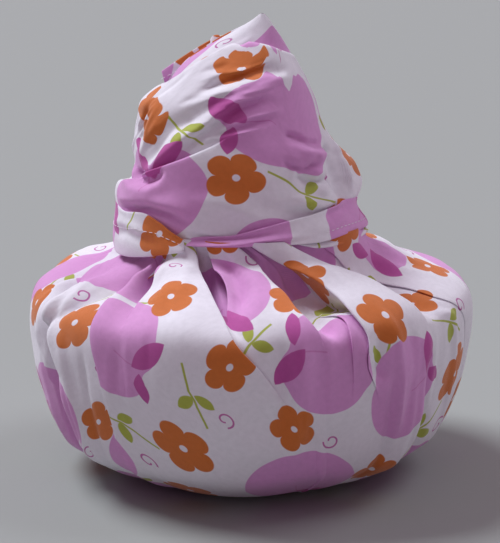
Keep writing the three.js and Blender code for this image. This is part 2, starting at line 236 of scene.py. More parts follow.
# %% [markdown]
# ## The bundle's form
#
# The cloth lies on a bowl with a flat foot, a round belly and a shoulder that slopes in to the neck. A
# lathe, Blender's Spin or Screw, could turn that outline into a surface. A grid made from it directly is
# better here, because the pleats need columns where they fold. The outline is the meridian: it runs from
# the middle of the flat bottom to the throat inside the knob, and the length along it is also the
# distance on the flat cloth from its middle.

# %% The meridian
MERIDIAN = rows_of(
    "at radius height",
    ("middle", 0.0, 0.0),
    ("rest", 38.0, 0.0),
    ("heel", 60.0, 3.3),
    ("foot", 76.0, 11.5),
    ("turn", 87.0, 20.5),
    ("waist", 95.0, 44.0),
    ("belly", 98.0, 69.0),
    ("brim", 96.0, 80.0),
    ("shoulder", 87.0, 86.0),
    ("slope", 68.0, 91.5),
    ("neck", 56.0, 97.0),
    ("tuck", 51.5, 103.0),
    ("throat", 50.0, 112.0),
)
radii, heights = (np.array(column_of(MERIDIAN, name)) for name in ("radius", "height"))
arcs = np.concatenate([[0.0], np.cumsum(np.hypot(np.diff(radii), np.diff(heights)))])
ARC = dict(zip(column_of(MERIDIAN, "at"), arcs))
radius_at, height_at = track(arcs, radii), track(arcs, heights)
print("from the middle to the throat:", round(ARC["throat"], 1), "mm of cloth")

# %% The levels where a pleat's figures are given
LEVELS = ("foot", "waist", "belly", "brim", "shoulder", "slope", "neck", "tuck", "throat")


def level_track(values, at_rest=None):
    """A figure along the meridian, given at the levels. Under the foot it goes to at_rest."""
    keys = [ARC["rest"]] + [ARC[level] for level in LEVELS]
    return track(keys, [values[0] if at_rest is None else at_rest, *values])


print({level: round(ARC[level], 1) for level in LEVELS})

# %% [markdown]
# ## The pleats
#
# A knife pleat takes up the cloth that is too much for the narrow neck: one layer laps over the next and
# hides a strip of it. The pleats could be cut into a smooth bundle with a sculpting brush, but then the
# hidden strip would be missing, and the print would run on across the fold as if nothing was hidden.
#
# Each row here is one fold line. `lap` says which layer is on top: 1 where it comes from the lower
# azimuth, -1 from the higher one, and 0 for a soft ridge or gully with no hidden layer. `azimuth`, `lip`
# and `step` are given from the foot up to the throat: where the fold runs, how high its lip stands off
# the meridian, and how big the step down to the layer beneath is. `puff` is the crown of the panel that
# follows, and `hidden` is how deep the hidden layer runs.

# %% The pleats at the left
NO_STEP = (0.0,) * len(LEVELS)
MOST_HIDDEN = 7.0  # how deep a pleat's hidden layer is modelled where it has room


def pleat(name, lap, azimuth, lip, step=NO_STEP, puff=0, hidden=MOST_HIDDEN):
    """One fold line for the tables of pleats."""
    return {"name": name, "lap": lap, "azimuth": azimuth, "lip": lip, "step": step,
            "puff": puff, "hidden": hidden}


LEFT_PLEATS = [
    pleat("back_left_lap", 1, puff=1,
          azimuth=(-165, -166, -166.5, -167, -168.5, -170, -172, -173, -175),
          lip=(0, 1, 1.4, 2, 3.5, 5, 4, 1.5, 0.8),
          step=(0, 1.4, 1.8, 3, 6, 9, 8, 3.5, 2)),
    pleat("back_left_roll", -1, puff=1,
          azimuth=(-150, -150, -150.5, -151, -152, -153, -156, -157, -159),
          lip=(0.3, 1, 1.4, 2.4, 4.5, 6, 4, 1.5, 0.8),
          step=(0.3, 1.4, 1.8, 3, 6, 9, 7, 3, 2)),
    pleat("rear_left_gully", 0, puff=1,
          azimuth=(-133, -133, -133.5, -134, -135, -136, -138, -139, -141),
          lip=(0, -0.5, -1, -1.5, -4, -6, -5, -2, -1)),
    pleat("rear_left_crown", 0, puff=0.5,
          azimuth=(-116, -117, -118, -119, -120, -121, -122, -123, -125),
          lip=(0, 0.8, 1.6, 2.6, 3.4, 3.4, 2.6, 1, 0.5)),
    pleat("left_side_lap", -1, puff=0.5, hidden=5,
          azimuth=(-96, -98, -100, -102, -104, -107, -110, -111, -112),
          lip=(0, 0.6, 0.8, 1.2, 1.8, 2.2, 2, 1, 0.5),
          step=(0, 0.6, 0.8, 1, 1.3, 2, 2.5, 2, 1)),
    pleat("left_strip", -1, hidden=3,
          azimuth=(-62, -62, -68, -70, -74, -90, -96, -98, -100),
          lip=(0.2, 1, 1.2, 1, 0.6, 0, 0, 0, 0),
          step=(0.6, 1.8, 2.2, 2, 1, 0, 0, 0, 0)),
    pleat("left_tuck", -1, puff=1, hidden=4,
          azimuth=(-56, -53, -59.3, -63.3, -64.5, -80, -86, -88, -90),
          lip=(0.6, 1.8, 2.9, 3.4, 2.8, 1.2, 1, 0.5, 0.3),
          step=(1, 4.2, 6.6, 7.4, 5.4, 2, 1.5, 1, 0.8)),
    pleat("left_gully", 0,
          azimuth=(-50, -50, -53, -57.8, -57, -54.8, -54.5, -54.5, -55),
          lip=(0, 0, 0, -0.3, -1, -0.6, -0.6, -0.4, -0.3)),
    pleat("left_lap", -1, hidden=3,
          azimuth=(-36.5, -37.8, -41, -42.8, -44.2, -46.7, -48.7, -49.5, -50.5),
          lip=(0.8, 1.1, 1.3, 2, 3, 4, 3.2, 1.5, 1),
          step=(1, 1.3, 1.5, 1.8, 2.4, 3.6, 4.5, 3, 2)),
    pleat("left_recess", -1, puff=2.2,
          azimuth=(-30, -31, -33, -34, -34.5, -36.4, -42, -43, -44.5),
          lip=(0, 0, 0, 0, 1, 4.5, 4.5, 1.8, 1),
          step=(0, 0, 0, 0, 1.5, 9, 9.5, 3.8, 2)),
]
print("left:", ", ".join(column_of(LEFT_PLEATS, "name")))

# %% The pleats in front
FRONT_PLEATS = [
    pleat("front_left_lap", 1,
          azimuth=(18, 12, 2.8, -3.2, -6.7, -14.1, -20.2, -23.5, -28.5),
          lip=(0, 0.4, 1.4, 2.6, 3, 6, 5, 2, 1),
          step=(0, 0, 1.2, 1.6, 1.4, 11, 11, 5, 3)),
    pleat("centre_roll", -1, puff=1,
          azimuth=(20.5, 14.5, 6, 0.5, -5.4, -7.8, -13.6, -17.2, -22),
          lip=(0, 0, 0, 0, 1, 5, 5, 2, 1),
          step=(0, 0, 0, 0, 0.3, 9, 10, 5, 3)),
    pleat("centre_lap", 1,
          azimuth=(23, 20.5, 19, 18, 14.9, 10.3, 6.4, 4, -7),
          lip=(0, 0, 0.2, 1, 4, 6, 5, 2, 1),
          step=(0, 0, 0, 0.5, 5, 14, 13, 5, 3)),
    pleat("front_gully", 0,
          azimuth=(25, 23, 22.3, 22, 21, 18.5, 12.5, 8.2, -5),
          lip=(0, 0, -0.4, -1.5, -7, -10, -7.5, -2.5, -1.5)),
    pleat("under_lap", -1, hidden=3,
          azimuth=(27.5, 26.3, 25.6, 25.5, 25.8, 23.2, 17, 11, -3.2),
          lip=(0.4, 0.8, 1, 1.6, 0.5, -8.5, -6.5, -2.5, -1.5),
          step=(0, 0, 0.8, 1.7, 1.6, 0, 0, 0, 0)),
    pleat("front_right_lap", -1, puff=1,
          azimuth=(38, 36, 29, 29.8, 28.2, 25.8, 20.2, 13.8, -1.5),
          lip=(0, 0, 1.2, 2.4, 4, 6.5, 5.5, 2, 1),
          step=(0, 0, 1, 1.7, 3.5, 14, 13, 5, 3)),
    pleat("right_lap", 1,
          azimuth=(54, 53, 52.5, 51.2, 49.3, 45, 39.7, 34, 17.5),
          lip=(0, 0, 0, 0.6, 4, 6.5, 5, 1.8, 1),
          step=(0, 0, 0, 0.5, 6, 15, 13.5, 5, 3)),
]
print("front:", ", ".join(column_of(FRONT_PLEATS, "name")))

# %% The pleats at the right and behind
RIGHT_PLEATS = [
    pleat("right_gully", 0,
          azimuth=(57, 57.6, 57.7, 58, 56, 54, 48, 41, 25),
          lip=(0, -1.2, -1.6, -2, -5.5, -9.5, -9, -3.5, -2)),
    pleat("right_turn", -1, puff=1.5, hidden=3,
          azimuth=(82, 80, 75, 69, 65, 66.5, 59, 48, 34),
          lip=(0, 0.3, 0.6, 0.9, 0.2, -3, -3.6, -1.5, -1),
          step=(0, 0.2, 0.4, 0.6, 0.8, 1.3, 1.6, 1, 0.8)),
    pleat("right_side_roll", 0,
          azimuth=(93, 93, 92, 91, 90, 89, 87, 85, 83),
          lip=(0, 0.6, 1.2, 2.2, 3.4, 4.6, 4, 1.6, 0.8)),
    pleat("rear_right_lap", 1, puff=1,
          azimuth=(108, 107, 106, 105, 105, 105, 104, 103, 101),
          lip=(0.4, 1, 1.4, 2.4, 3.8, 4.6, 3.8, 1.5, 0.8),
          step=(0.6, 1.6, 2.2, 3.2, 5.5, 7, 6, 3, 1.5)),
    pleat("rear_right_gully", 0, puff=1.5,
          azimuth=(121, 120, 119.5, 119, 118, 117, 116, 115, 113),
          lip=(0, -0.5, -1, -2, -5, -8, -6, -2.5, -1.2)),
    pleat("back_right_lap", 1, puff=1,
          azimuth=(141, 140, 139.5, 139, 138, 136, 134, 133, 131),
          lip=(0.3, 1.3, 1.8, 2.6, 4.5, 6, 4.5, 1.5, 0.8),
          step=(0.5, 1.6, 2.2, 3.2, 6.5, 10, 9, 4, 2)),
    pleat("back_crease", -1, puff=1,
          azimuth=(159, 158, 157.5, 157, 156, 155, 152, 151, 149),
          lip=(0, 0.8, 1.2, 1.8, 3, 4, 3, 1, 0.5),
          step=(0, 1.2, 1.6, 2.2, 4.5, 7, 6, 2.5, 1.5)),
]
PLEATS = LEFT_PLEATS + FRONT_PLEATS + RIGHT_PLEATS
print("right:", ", ".join(column_of(RIGHT_PLEATS, "name")))

# %% [markdown]
# ## Creases
#
# Between the pleats the cloth is dragged and slack, and shows soft creases. A noise texture on a Displace
# modifier gives lumps that run nowhere. A real crease has a direction, because it runs along the pull.
# So each is a short line of (azimuth, up) points, where up is the arc on the bundle or the height on the
# knob. It is a soft ridge, or a trough where its lift is below zero. `left` and `right` are its
# half-widths on either side of its direction: a fold that is dragged over is narrow on one side.

# %% The crease tool
FADE_IN, FADE_OUT = 0.25, 0.35  # the shares of its length over which a crease rises and dies away
FAR_AWAY = 1e9


def crease(name, lift, left, right, *line):
    """One crease for the tables: its lift, its two half-widths and then its points."""
    return {"name": name, "lift": lift, "left": left, "right": right, "line": line}


def turn_between(azimuth, centre):
    """How far azimuth is from centre, the short way round, in degrees."""
    return (azimuth - centre + 180.0) % 360.0 - 180.0


def crease_relief(creases, azimuth, up, radius):
    """The relief of all the creases on a grid. radius turns azimuth into millimetres."""
    total = np.zeros(np.broadcast(azimuth, up).shape)
    for fold in creases:
        line = fold["line"]
        near, along, reach = np.full(total.shape, FAR_AWAY), np.zeros(total.shape), 0.0
        for (a0, u0), (a1, u1) in zip(line, line[1:]):
            x, dx = np.radians(turn_between(azimuth, a0)) * radius, math.radians(a1 - a0) * radius
            y, dy = up - u0, u1 - u0
            length = np.sqrt(dx * dx + dy * dy)
            t = np.clip((x * dx + y * dy) / length**2, 0.0, 1.0)
            width = np.where(dx * y - dy * x > 0, fold["left"], fold["right"])
            off = np.hypot(x - t * dx, y - t * dy) / width
            closer = off < near
            near = np.where(closer, off, near)
            along = np.where(closer, reach + t * length, along)
            reach = reach + length
        ends = ease(along / (FADE_IN * reach)) * ease((reach - along) / (FADE_OUT * reach))
        total += fold["lift"] * ends * np.exp(-(near**2))
    return total


def lifts_of(creases):
    """What a table of creases comes to, for printing."""
    lifts = column_of(creases, "lift")
    return f"{len(lifts)} creases from {min(lifts)} to {max(lifts)} mm"


sample = crease_relief([crease("sample", 1, 2, 2, (0, 0), (0, 10))], 0.0, np.array([5.0]), 50.0)
print("a crease's full lift is kept in its middle:", sample)

# %% The bundle's creases
BUNDLE_CREASES = [
    crease("centre_edge", 1.7, 1.6, 2.6, (-17, 206), (-12.4, 197), (-9, 188), (-5.6, 181), (-5, 174),
           (-6, 167)),
    crease("centre_valley", -3.8, 2.4, 4.2, (-13, 212), (-11.4, 206), (-5.5, 197), (-2, 184),
           (-1.8, 174), (-1, 160)),
    crease("front_trough", -1.7, 3.0, 3.4, (7, 166), (8.3, 142), (8.8, 117), (9, 94)),
    crease("front_ridge", 1.6, 3.4, 2.6, (12.5, 166), (12, 142), (12.2, 117), (12.4, 94)),
    crease("front_soft_trough", -0.9, 4.0, 3.0, (18.5, 158), (17.5, 140), (17.5, 118), (18, 98)),
    crease("pocket_rim", 1.7, 1.1, 2.6, (30.4, 154), (28.8, 146), (29.2, 140), (30.8, 135), (32.5, 130),
           (35, 126)),
    crease("pocket", -2.4, 2.6, 2.2, (34.5, 156), (32.6, 147), (33.2, 139), (36.5, 131)),
    crease("pocket_side", 1.8, 2.4, 2.2, (36, 166), (38.5, 148), (39.5, 138), (41, 118), (42, 98)),
    crease("right_trough", -1.7, 2.8, 3.2, (43, 162), (44.5, 136), (44.8, 118), (45, 98)),
    crease("right_ridge", 1.4, 3.4, 3.0, (50, 158), (50.5, 140), (50.5, 118), (50, 96)),
    crease("left_fan_ridge", 1.7, 3.0, 3.0, (-77, 200), (-79, 188), (-77, 178), (-74, 167), (-74, 157),
           (-76, 144)),
    crease("left_fan_valley", -1.8, 3.6, 2.8, (-84, 198), (-85, 184), (-81, 176), (-79, 166),
           (-82, 150)),
    crease("left_fan_trough", -2.0, 3.2, 2.4, (-71, 202), (-73, 188), (-71.5, 178), (-69.5, 170),
           (-67.5, 160)),
    crease("left_fan_crest", 1.9, 2.2, 3.0, (-63.5, 202), (-63.8, 190), (-63.8, 181), (-63, 173),
           (-61, 166), (-60, 159), (-60.3, 150)),
    crease("left_nick", -2.6, 3.4, 1.0, (-53, 200), (-54.4, 187), (-55.2, 180), (-55.8, 174),
           (-56.4, 167), (-57.6, 161), (-58.2, 154), (-57.6, 144)),
    crease("left_gather", -0.8, 2.5, 2.5, (-36, 196), (-32, 178), (-30.5, 162)),
    crease("panel_gather", 0.7, 3.0, 2.0, (-28, 206), (-24, 188), (-20, 168)),
    crease("right_gather", 0.6, 2.5, 2.5, (25, 206), (33, 188), (36, 168)),
    crease("side_gather", 0.9, 3.0, 2.4, (62, 208), (74, 194), (77, 180), (76, 164)),
    crease("side_valley", -1.2, 4.0, 4.0, (72, 208), (82, 192), (84, 176), (83, 160)),
]
print("bundle:", lifts_of(BUNDLE_CREASES))

# %% The bundle's long folds
LONG_FOLDS = [
    crease("left_long_valley", -3.6, 2.8, 1.7, (-70, 176), (-62, 166), (-60, 153), (-62, 143),
           (-61.5, 132), (-61, 107), (-61, 74), (-61, 50)),
    crease("left_outer_ridge", 1.6, 4.5, 2.4, (-66, 158), (-67.5, 148), (-69, 135), (-68, 115),
           (-67, 88), (-67, 66)),
    crease("left_inner_ridge", 1.5, 2.2, 2.6, (-56, 158), (-55, 149), (-53, 138), (-50, 117), (-49, 92),
           (-49, 70)),
    crease("left_inner_valley", -1.4, 2.2, 1.6, (-47, 148), (-46, 142), (-46, 124), (-45.5, 100),
           (-45, 80)),
    crease("right_long_valley", -1.9, 1.7, 2.8, (40, 148), (39, 140), (39, 124), (40, 110), (40, 84),
           (40, 64)),
    crease("right_long_ridge", 1.7, 3.2, 4.0, (45, 158), (44, 140), (45, 124), (46, 110), (46, 84),
           (46, 64)),
    crease("right_outer_valley", -2.2, 2.6, 3.6, (56, 150), (54, 145), (52, 133), (53, 119), (56, 106),
           (57, 84), (57, 64)),
    crease("right_outer_ridge", 1.3, 2.4, 3.0, (55, 162), (60, 158), (65, 151), (66, 144), (68, 131),
           (69, 108), (69, 84)),
    crease("front_long_swell", 1.3, 5.0, 5.0, (5, 140), (8, 126), (10, 110), (11, 92)),
]
BUNDLE_CREASES += LONG_FOLDS
print("long folds:", lifts_of(LONG_FOLDS))

# %% The bundle's fine wrinkles
def fine_creases(count, seed, azimuths, ups, run, rise, lift, width):
    """Faint wrinkles, by turns hollow and raised. Each pair of figures is the least and the most.

    azimuths and ups say where they start, run how far they go round, in degrees, and rise how far up."""
    random = np.random.default_rng(seed)
    made = []
    for i in range(count):
        azimuth, up = random.uniform(*azimuths), random.uniform(*ups)
        across, climb, wide = random.uniform(*run), random.uniform(*rise), random.uniform(*width)
        line = [(azimuth + across * t, up + climb * t + random.uniform(-0.4, 0.4))
                for t in (0.0, 0.33, 0.66, 1.0)]
        sign = 1 if i % 2 else -1
        made.append(crease("fine", sign * random.uniform(*lift), wide, 0.8 * wide, *line))
    return made


NECK_GATHERS = fine_creases(
    count=44, seed=7, azimuths=(-180, 180), ups=(201, 209),
    run=(-3, 6), rise=(-32, -14), lift=(0.25, 0.6), width=(0.8, 1.6))
FRONT_WRINKLES = fine_creases(
    count=16, seed=8, azimuths=(-70, 70), ups=(150, 160),
    run=(-2, 2), rise=(-60, -30), lift=(0.2, 0.45), width=(1.2, 2.4))
BUNDLE_CREASES += NECK_GATHERS + FRONT_WRINKLES
print(len(BUNDLE_CREASES), "creases on the bundle")

# %% [markdown]
# ## Weaving the bundle's grid
#
# A knife pleat hides cloth: the upper layer rolls over at its lip, runs back under itself and turns out
# again as the lower layer. A flat strip laid on top would show an open edge, so the fold is modelled as it
# is. `fold_section` gives the points across one fold, row by row. Where the pleat dies out, the same
# points spread flat, so the grid never tears.

# %% Sections across the pleats
ROLL = 0.6  # radius of a fold's rolled lip
LIP_ANGLES = np.radians([90, 45, 0, -45, -90])
TURN_ANGLES = np.radians([90, 180, 270])


def fold_section(lip, step, depth, lap):
    """Points across a fold, each a list of (along, lift) arrays over the rows, from low to high azimuth."""
    roll, under = np.minimum(ROLL, step / 4.0), lip - step
    points = [(-roll + roll * math.cos(a), lip - roll + roll * math.sin(a)) for a in LIP_ANGLES]
    points.append((-roll - depth / 2.0, lip - step / 2.0))
    points += [(-roll - depth + roll * math.cos(a), under + roll + roll * math.sin(a))
               for a in TURN_ANGLES]
    points.append((-roll - depth / 2.0, under))
    points.append((roll, under))
    return points if lap == 1 else [(-x, y) for x, y in reversed(points)]


print("a pleat takes", len(fold_section(4.0, 3.0, MOST_HIDDEN, 1)), "columns of the grid")

# %% Open and close a pleat along its length
OPEN_AT = 1.0  # a pleat whose layers stand this far apart hides all the cloth that it can
FLAT_SPREAD = 0.1  # degrees between a fold's points where it has died out
WOBBLE = 0.35  # how far a fold line strays to either side, in degrees
body_arcs = np.concatenate([
    np.linspace(0.0, ARC["rest"], 9)[:-1],
    np.linspace(ARC["rest"], ARC["turn"], 30)[:-1],
    np.linspace(ARC["turn"], ARC["throat"], 92),
])
body_radius = np.maximum(radius_at(body_arcs), 1e-3)


def openness(fold):
    return ease(fold["step"] / OPEN_AT)


def across(fold):
    """A fold's own columns as (azimuth, lift)."""
    if fold["lap"] == 0:
        return [(fold["azimuth"], fold["lip"])]
    depth = fold["hidden"] * ease(fold["step"] / (2.5 * OPEN_AT))
    section = fold_section(fold["lip"], fold["step"], depth, fold["lap"])
    spread = FLAT_SPREAD * (1.0 - openness(fold))
    middle = (len(section) - 1) / 2.0
    return [
        (fold["azimuth"] + np.degrees(x / body_radius) + (k - middle) * spread, lift)
        for k, (x, lift) in enumerate(section)
    ]


def fold_lines():
    """The pleats with their figures in every row of the grid. A small wobble keeps them from being ruled."""
    folds = []
    for seed, row in enumerate(PLEATS):
        lip, step = (level_track(row[name], 0.0)(body_arcs) for name in ("lip", "step"))
        azimuth = level_track(row["azimuth"])(body_arcs) + WOBBLE * unevenness(0.0, body_arcs, seed)
        folds.append({**row, "lip": lip, "step": np.maximum(step, 0.0), "azimuth": azimuth})
    return folds


folds = fold_lines()
print("deepest step of each pleat:", [round(float(fold["step"].max()), 1) for fold in folds], "mm")

# %% Columns round the bundle
COLUMN_STEP = {"front": 0.8, "back": 1.9}  # degrees between columns on a panel
FRONT_ENDS = 112.0  # how far round the fine columns go, in degrees


def panel_between(fold, start, end):
    """The columns of the panel from one fold's last column to the next fold's first, both left out."""
    width = np.median(end[0] - start[0])
    step = COLUMN_STEP["front" if abs(np.median(fold["azimuth"])) < FRONT_ENDS else "back"]
    count = max(4, round(width / step))
    panel = []
    for t in np.arange(1, count) / count:
        crown = fold["puff"] * 4.0 * t * (1.0 - t) * ease(body_arcs / ARC["waist"])
        panel.append((lerp(start[0], end[0], t), lerp(start[1], end[1], ease(t)) + crown))
    return panel


def bundle_columns():
    """Every column's (azimuth, lift), and where each pleat's columns start and end, its lap and openness."""
    columns, spans = [], []
    for i, fold in enumerate(folds):
        section, following = across(fold), across(folds[(i + 1) % len(folds)])
        turn = 360.0 if i + 1 == len(folds) else 0.0
        spans.append((len(columns), len(columns) + len(section) - 1, fold["lap"], openness(fold)))
        columns += section
        columns += panel_between(fold, section[-1], (following[0][0] + turn, following[0][1]))
    return columns, spans


columns, fold_spans = bundle_columns()
print(len(columns), "columns by", len(body_arcs), "rows")

# %% [markdown]
# The columns become points by lifting them off the meridian along its normal. The creases and a little
# unevenness are added to the lift, more on the gathered slope than on the taut side. A Displace modifier
# could add them later, but here they also go into the lengths that the flat cloth is measured by.

# %% Place the bundle's points
SLOPE_REACH = 0.5  # how far to either side the meridian's slope is measured
UNEVEN = rows_of(
    "seed waves lengths on_side on_slope",
    (11, (4, 14), (18.0, 50.0), 0.3, 0.3),
    (12, (20, 42), (60.0, 140.0), 0.1, 0.25),
)


def bundle_points(azimuth, lift, arc):
    ahead, behind = np.minimum(arc + SLOPE_REACH, ARC["throat"]), np.maximum(arc - SLOPE_REACH, 0.0)
    rise = height_at(ahead) - height_at(behind)
    run = radius_at(ahead) - radius_at(behind)
    length = np.hypot(rise, run)
    radius = radius_at(arc) + lift * rise / length
    height = np.maximum(height_at(arc) - lift * run / length, 0.0)
    angle = np.radians(azimuth)
    height = np.broadcast_to(height, angle.shape)
    return np.stack([radius * np.sin(angle), -radius * np.cos(angle), height], axis=2)


body_azimuth = np.stack([azimuth for azimuth, lift in columns], axis=1)
body_lift = np.stack([lift for azimuth, lift in columns], axis=1)
body_arc = body_arcs[:, None]
above_foot = ease((body_arc - ARC["heel"]) / 40.0)
on_slope = ease((body_arc - ARC["belly"]) / 40.0)
uneven = sum(
    unevenness(body_azimuth, body_arc, row["seed"], row["waves"], row["lengths"])
    * (row["on_side"] + row["on_slope"] * on_slope)
    for row in UNEVEN
)
body_lift = body_lift + above_foot * uneven
body_lift += crease_relief(BUNDLE_CREASES, body_azimuth, body_arc, body_radius[:, None])
body_points = bundle_points(body_azimuth, body_lift, body_arc)
print("bundle width", round(float(np.ptp(body_points[:, :, 0])), 1), "mm")

# %% [markdown]
# ## Where the print goes
#
# On the flat cloth a point's place is its arc from the middle and its bearing. A panel between two
# pleats shows only as much bearing as its own width, and the rest is hidden in the pleats. So a motif is
# cut at a fold, and isn't squeezed where the cloth is gathered. A plain polar map would be simpler,
# but it would squeeze every motif to a sliver at the neck.
#
# From the bottom up, each panel wants to go straight on, and where a pleat is closed its two sides have
# to meet. `settle` finds the bearings that serve both wishes best in all rows at once. It is a
# least-squares problem with one unknown for each panel in each of a few rows.

# %% Settle the panels on the flat cloth
MEET = 40.0  # how much more a closed pleat's two sides want to meet than a panel wants to go straight on
HELD_FAST = 1e3  # how hard the first row is held where it is


def settle(arc, middles, drift, reach, shut):
    """The panels' middle bearings. reach is the bearing between neighbours' middles if they meet."""
    rows, count = middles.shape
    matrix, wanted = [], []

    def wish(row_a, panel_a, row_b, panel_b, difference, weight):
        line = np.zeros(rows * count)
        line[row_a * count + panel_a] += weight
        if row_b is not None:
            line[row_b * count + panel_b] -= weight
        matrix.append(line)
        wanted.append(weight * difference)

    for row in range(rows):
        for panel in range(count):
            following = (panel + 1) % count
            turn = 2.0 * math.pi if following == 0 else 0.0
            wish(row, following, row, panel, reach[row, panel] - turn, MEET * shut[row, panel] * arc[row])
            if row == 0:
                wish(row, panel, None, None, middles[row, panel], HELD_FAST)
            else:
                weight = arc[row] / math.sqrt(arc[row] - arc[row - 1])
                wish(row, panel, row - 1, panel, drift[row, panel], weight)
    found = np.linalg.lstsq(np.stack(matrix), np.array(wanted), rcond=None)[0]
    return found.reshape(rows, count)


print("a closed pleat counts", MEET, "times as much as a straight panel")

# %% Find the panels' bearings
SETTLED_ROWS = 44


def panel_bearings(along, azimuth, laps, starts, ends):
    """Each panel's middle bearing in every row, settled in some rows and drawn straight between them."""
    arc = np.maximum(body_arcs, 0.5)
    half_widths = (along[:, ends] - along[:, starts]) / arc[:, None] / 2.0
    middles = (azimuth[:, ends] + azimuth[:, starts]) / 2.0
    following = laps[1:] + laps[:1]
    shut = 1.0 - np.stack([lap[3] for lap in following], axis=1)
    own = np.stack([along[:, lap[1]] - along[:, lap[0]] for lap in following], axis=1) / arc[:, None]
    reach = half_widths + np.roll(half_widths, -1, axis=1) + own * shut
    drift = np.diff(middles, axis=0, prepend=middles[:1]) * np.minimum(1.0, body_radius / arc)[:, None]
    chosen = np.unique(np.linspace(0, len(arc) - 1, SETTLED_ROWS).round().astype(int))
    total_drift = np.cumsum(drift, axis=0)[chosen]
    drift_between = np.diff(total_drift, axis=0, prepend=total_drift[:1])
    settled = settle(arc[chosen], middles[chosen], drift_between, reach[chosen], shut[chosen])
    return np.stack([np.interp(arc, arc[chosen], column) for column in settled.T], axis=1)


print("settled in", SETTLED_ROWS, "of", len(body_arcs), "rows")

# %% Lay the bundle's cloth flat
# how much of a pleat's hidden cloth lies before each of its columns: most is deep under the lip
HIDDEN_PARTS = np.cumsum([0.0, 0.5, 0.5, 0.5, 0.5, 3.0, 3.0, 3.0, 3.0, 1.0, 0.5]) / 15.5


def flat_bearings():
    """Each column's bearing on the flat cloth, in radians, one column more than the grid has."""
    ring = np.concatenate([body_points, body_points[:, :1]], axis=1)
    along = lengths_along(ring, axis=1)
    azimuth = np.radians(np.concatenate([body_azimuth, body_azimuth[:, :1] + 360.0], axis=1))
    laps = [span for span in fold_spans if span[2] != 0]
    starts = [lap[1] for lap in laps]
    ends = [lap[0] for lap in laps[1:]] + [along.shape[1] - 1]
    settled = panel_bearings(along, azimuth, laps, starts, ends)
    arc = np.maximum(body_arcs, 0.5)[:, None]
    bearing = np.zeros(along.shape)
    for i, (start, end) in enumerate(zip(starts, ends)):
        middle = (along[:, [start]] + along[:, [end]]) / 2.0
        bearing[:, start : end + 1] = settled[:, [i]] + (along[:, start : end + 1] - middle) / arc
    for first, last, lap, open_there in laps:
        tucked = HIDDEN_PARTS if lap == 1 else 1.0 - HIDDEN_PARTS[::-1]
        width = np.maximum(along[:, [last]] - along[:, [first]], 1e-9)  # it is nothing in the very middle
        own_part = (along[:, first : last + 1] - along[:, [first]]) / width
        part = lerp(own_part, tucked, open_there[:, None])
        before = bearing[:, [first]] if first else bearing[:, [-1]] - 2.0 * math.pi
        bearing[:, first : last + 1] = lerp(before, bearing[:, [last]], part)
    return bearing


bearing = flat_bearings()
body_flat = np.stack([body_arc * np.sin(bearing), -body_arc * np.cos(bearing)], axis=2)
bundle = sheet_mesh("bundle_cloth", body_points, body_flat, closed=True)
print("bundle:", len(bundle.data.polygons), "faces")

# %% [markdown]
# ## The knob's form
#
# The square's corners are wound round each other above the neck. Metaballs or a sculpt could give such a
# lump, but not cloth that runs round it. So the knob starts as a plain leaning dome: level ellipses
# about centres that wander to the left as they rise. The wound layers stand off this form, and lobes
# swell it where a bight of cloth bulges.

# %% The knob's sections
KNOB_SECTIONS = rows_of(
    "height centre_x centre_y half_x half_y",
    (90, -3, 0, 49, 46),
    (104, -4, 0, 50.5, 47),
    (113, -5, 0, 50.5, 47),
    (122, -5.5, 0, 50, 46.5),
    (128, -5.5, 0, 49, 45.5),
    (133, -5, 0, 46.5, 44),
    (139, -5, 0, 45.8, 42.5),
    (148, -7.3, 0.5, 43.7, 40),
    (157, -9, 1, 41, 36.5),
    (166, -8.8, 2, 38, 33),
    (174, -6, 2, 32, 28),
    (182, -4, 2, 25.5, 21.5),
    (190, -1.5, 2, 17.5, 14),
    (196, 1, 2, 10, 8),
)
CAP_SECTIONS = rows_of(
    "height centre_x centre_y half_x half_y",
    (160, -8, 3, 34, 28),
    (172, -6, 3, 30, 24),
    (182, -4, 3, 24.5, 17.5),
    (190, -0.5, 3, 16.5, 10.5),
    (196, 3, 3, 9.5, 6),
    (200.5, 5.2, 3, 4.2, 2.8),
    (203.5, 5.8, 3, 0.8, 0.6),
)


def form_of(sections):
    """A function from (azimuth, height, stand) to points on a form of level ellipses."""
    names = ("centre_x", "centre_y", "half_x", "half_y")
    tracks = [track(column_of(sections, "height"), column_of(sections, name)) for name in names]

    def at(azimuth, height, stand):
        centre_x, centre_y, half_x, half_y = (curve(height) for curve in tracks)
        angle = np.radians(azimuth)
        x = centre_x + (half_x + stand) * np.sin(angle)
        y = centre_y - (half_y + stand) * np.cos(angle)
        return np.stack(np.broadcast_arrays(x, y, height), axis=-1)

    return at


knob_form, cap_form = form_of(KNOB_SECTIONS), form_of(CAP_SECTIONS)
print("the knob's front at 150 mm:", knob_form(0.0, 150.0, 0.0).round(1))

# %% The knob's lobes
LOBES = rows_of(
    "name azimuth height around up lift",
    ("right_lobe", 104, 131, 26, 11.5, 9),
    ("right_groove", 67, 136, 5.5, 11, -4.6),
    ("right_knuckle", 46, 146.5, 13, 5, 4.2),
    ("small_knuckle", 46, 138.6, 5.5, 2.4, 2.8),
    ("low_knuckle", 51, 131, 5, 3, 2.8),
    ("back_lobe", 165, 143, 28, 13, 4),
    ("back_groove", -150, 150, 10, 15, -3),
)


def lobes_at(azimuth, height):
    """How far the lobes push the cloth out. around is a lobe's half-width in degrees, up in millimetres."""
    total = 0.0
    for lobe in LOBES:
        near = (turn_between(azimuth, lobe["azimuth"]) / lobe["around"]) ** 2
        near = near + ((height - lobe["height"]) / lobe["up"]) ** 2
        total = total + lobe["lift"] * np.exp(-near)
    return total


print({lobe["name"]: round(float(lobes_at(lobe["azimuth"], lobe["height"])), 1) for lobe in LOBES})

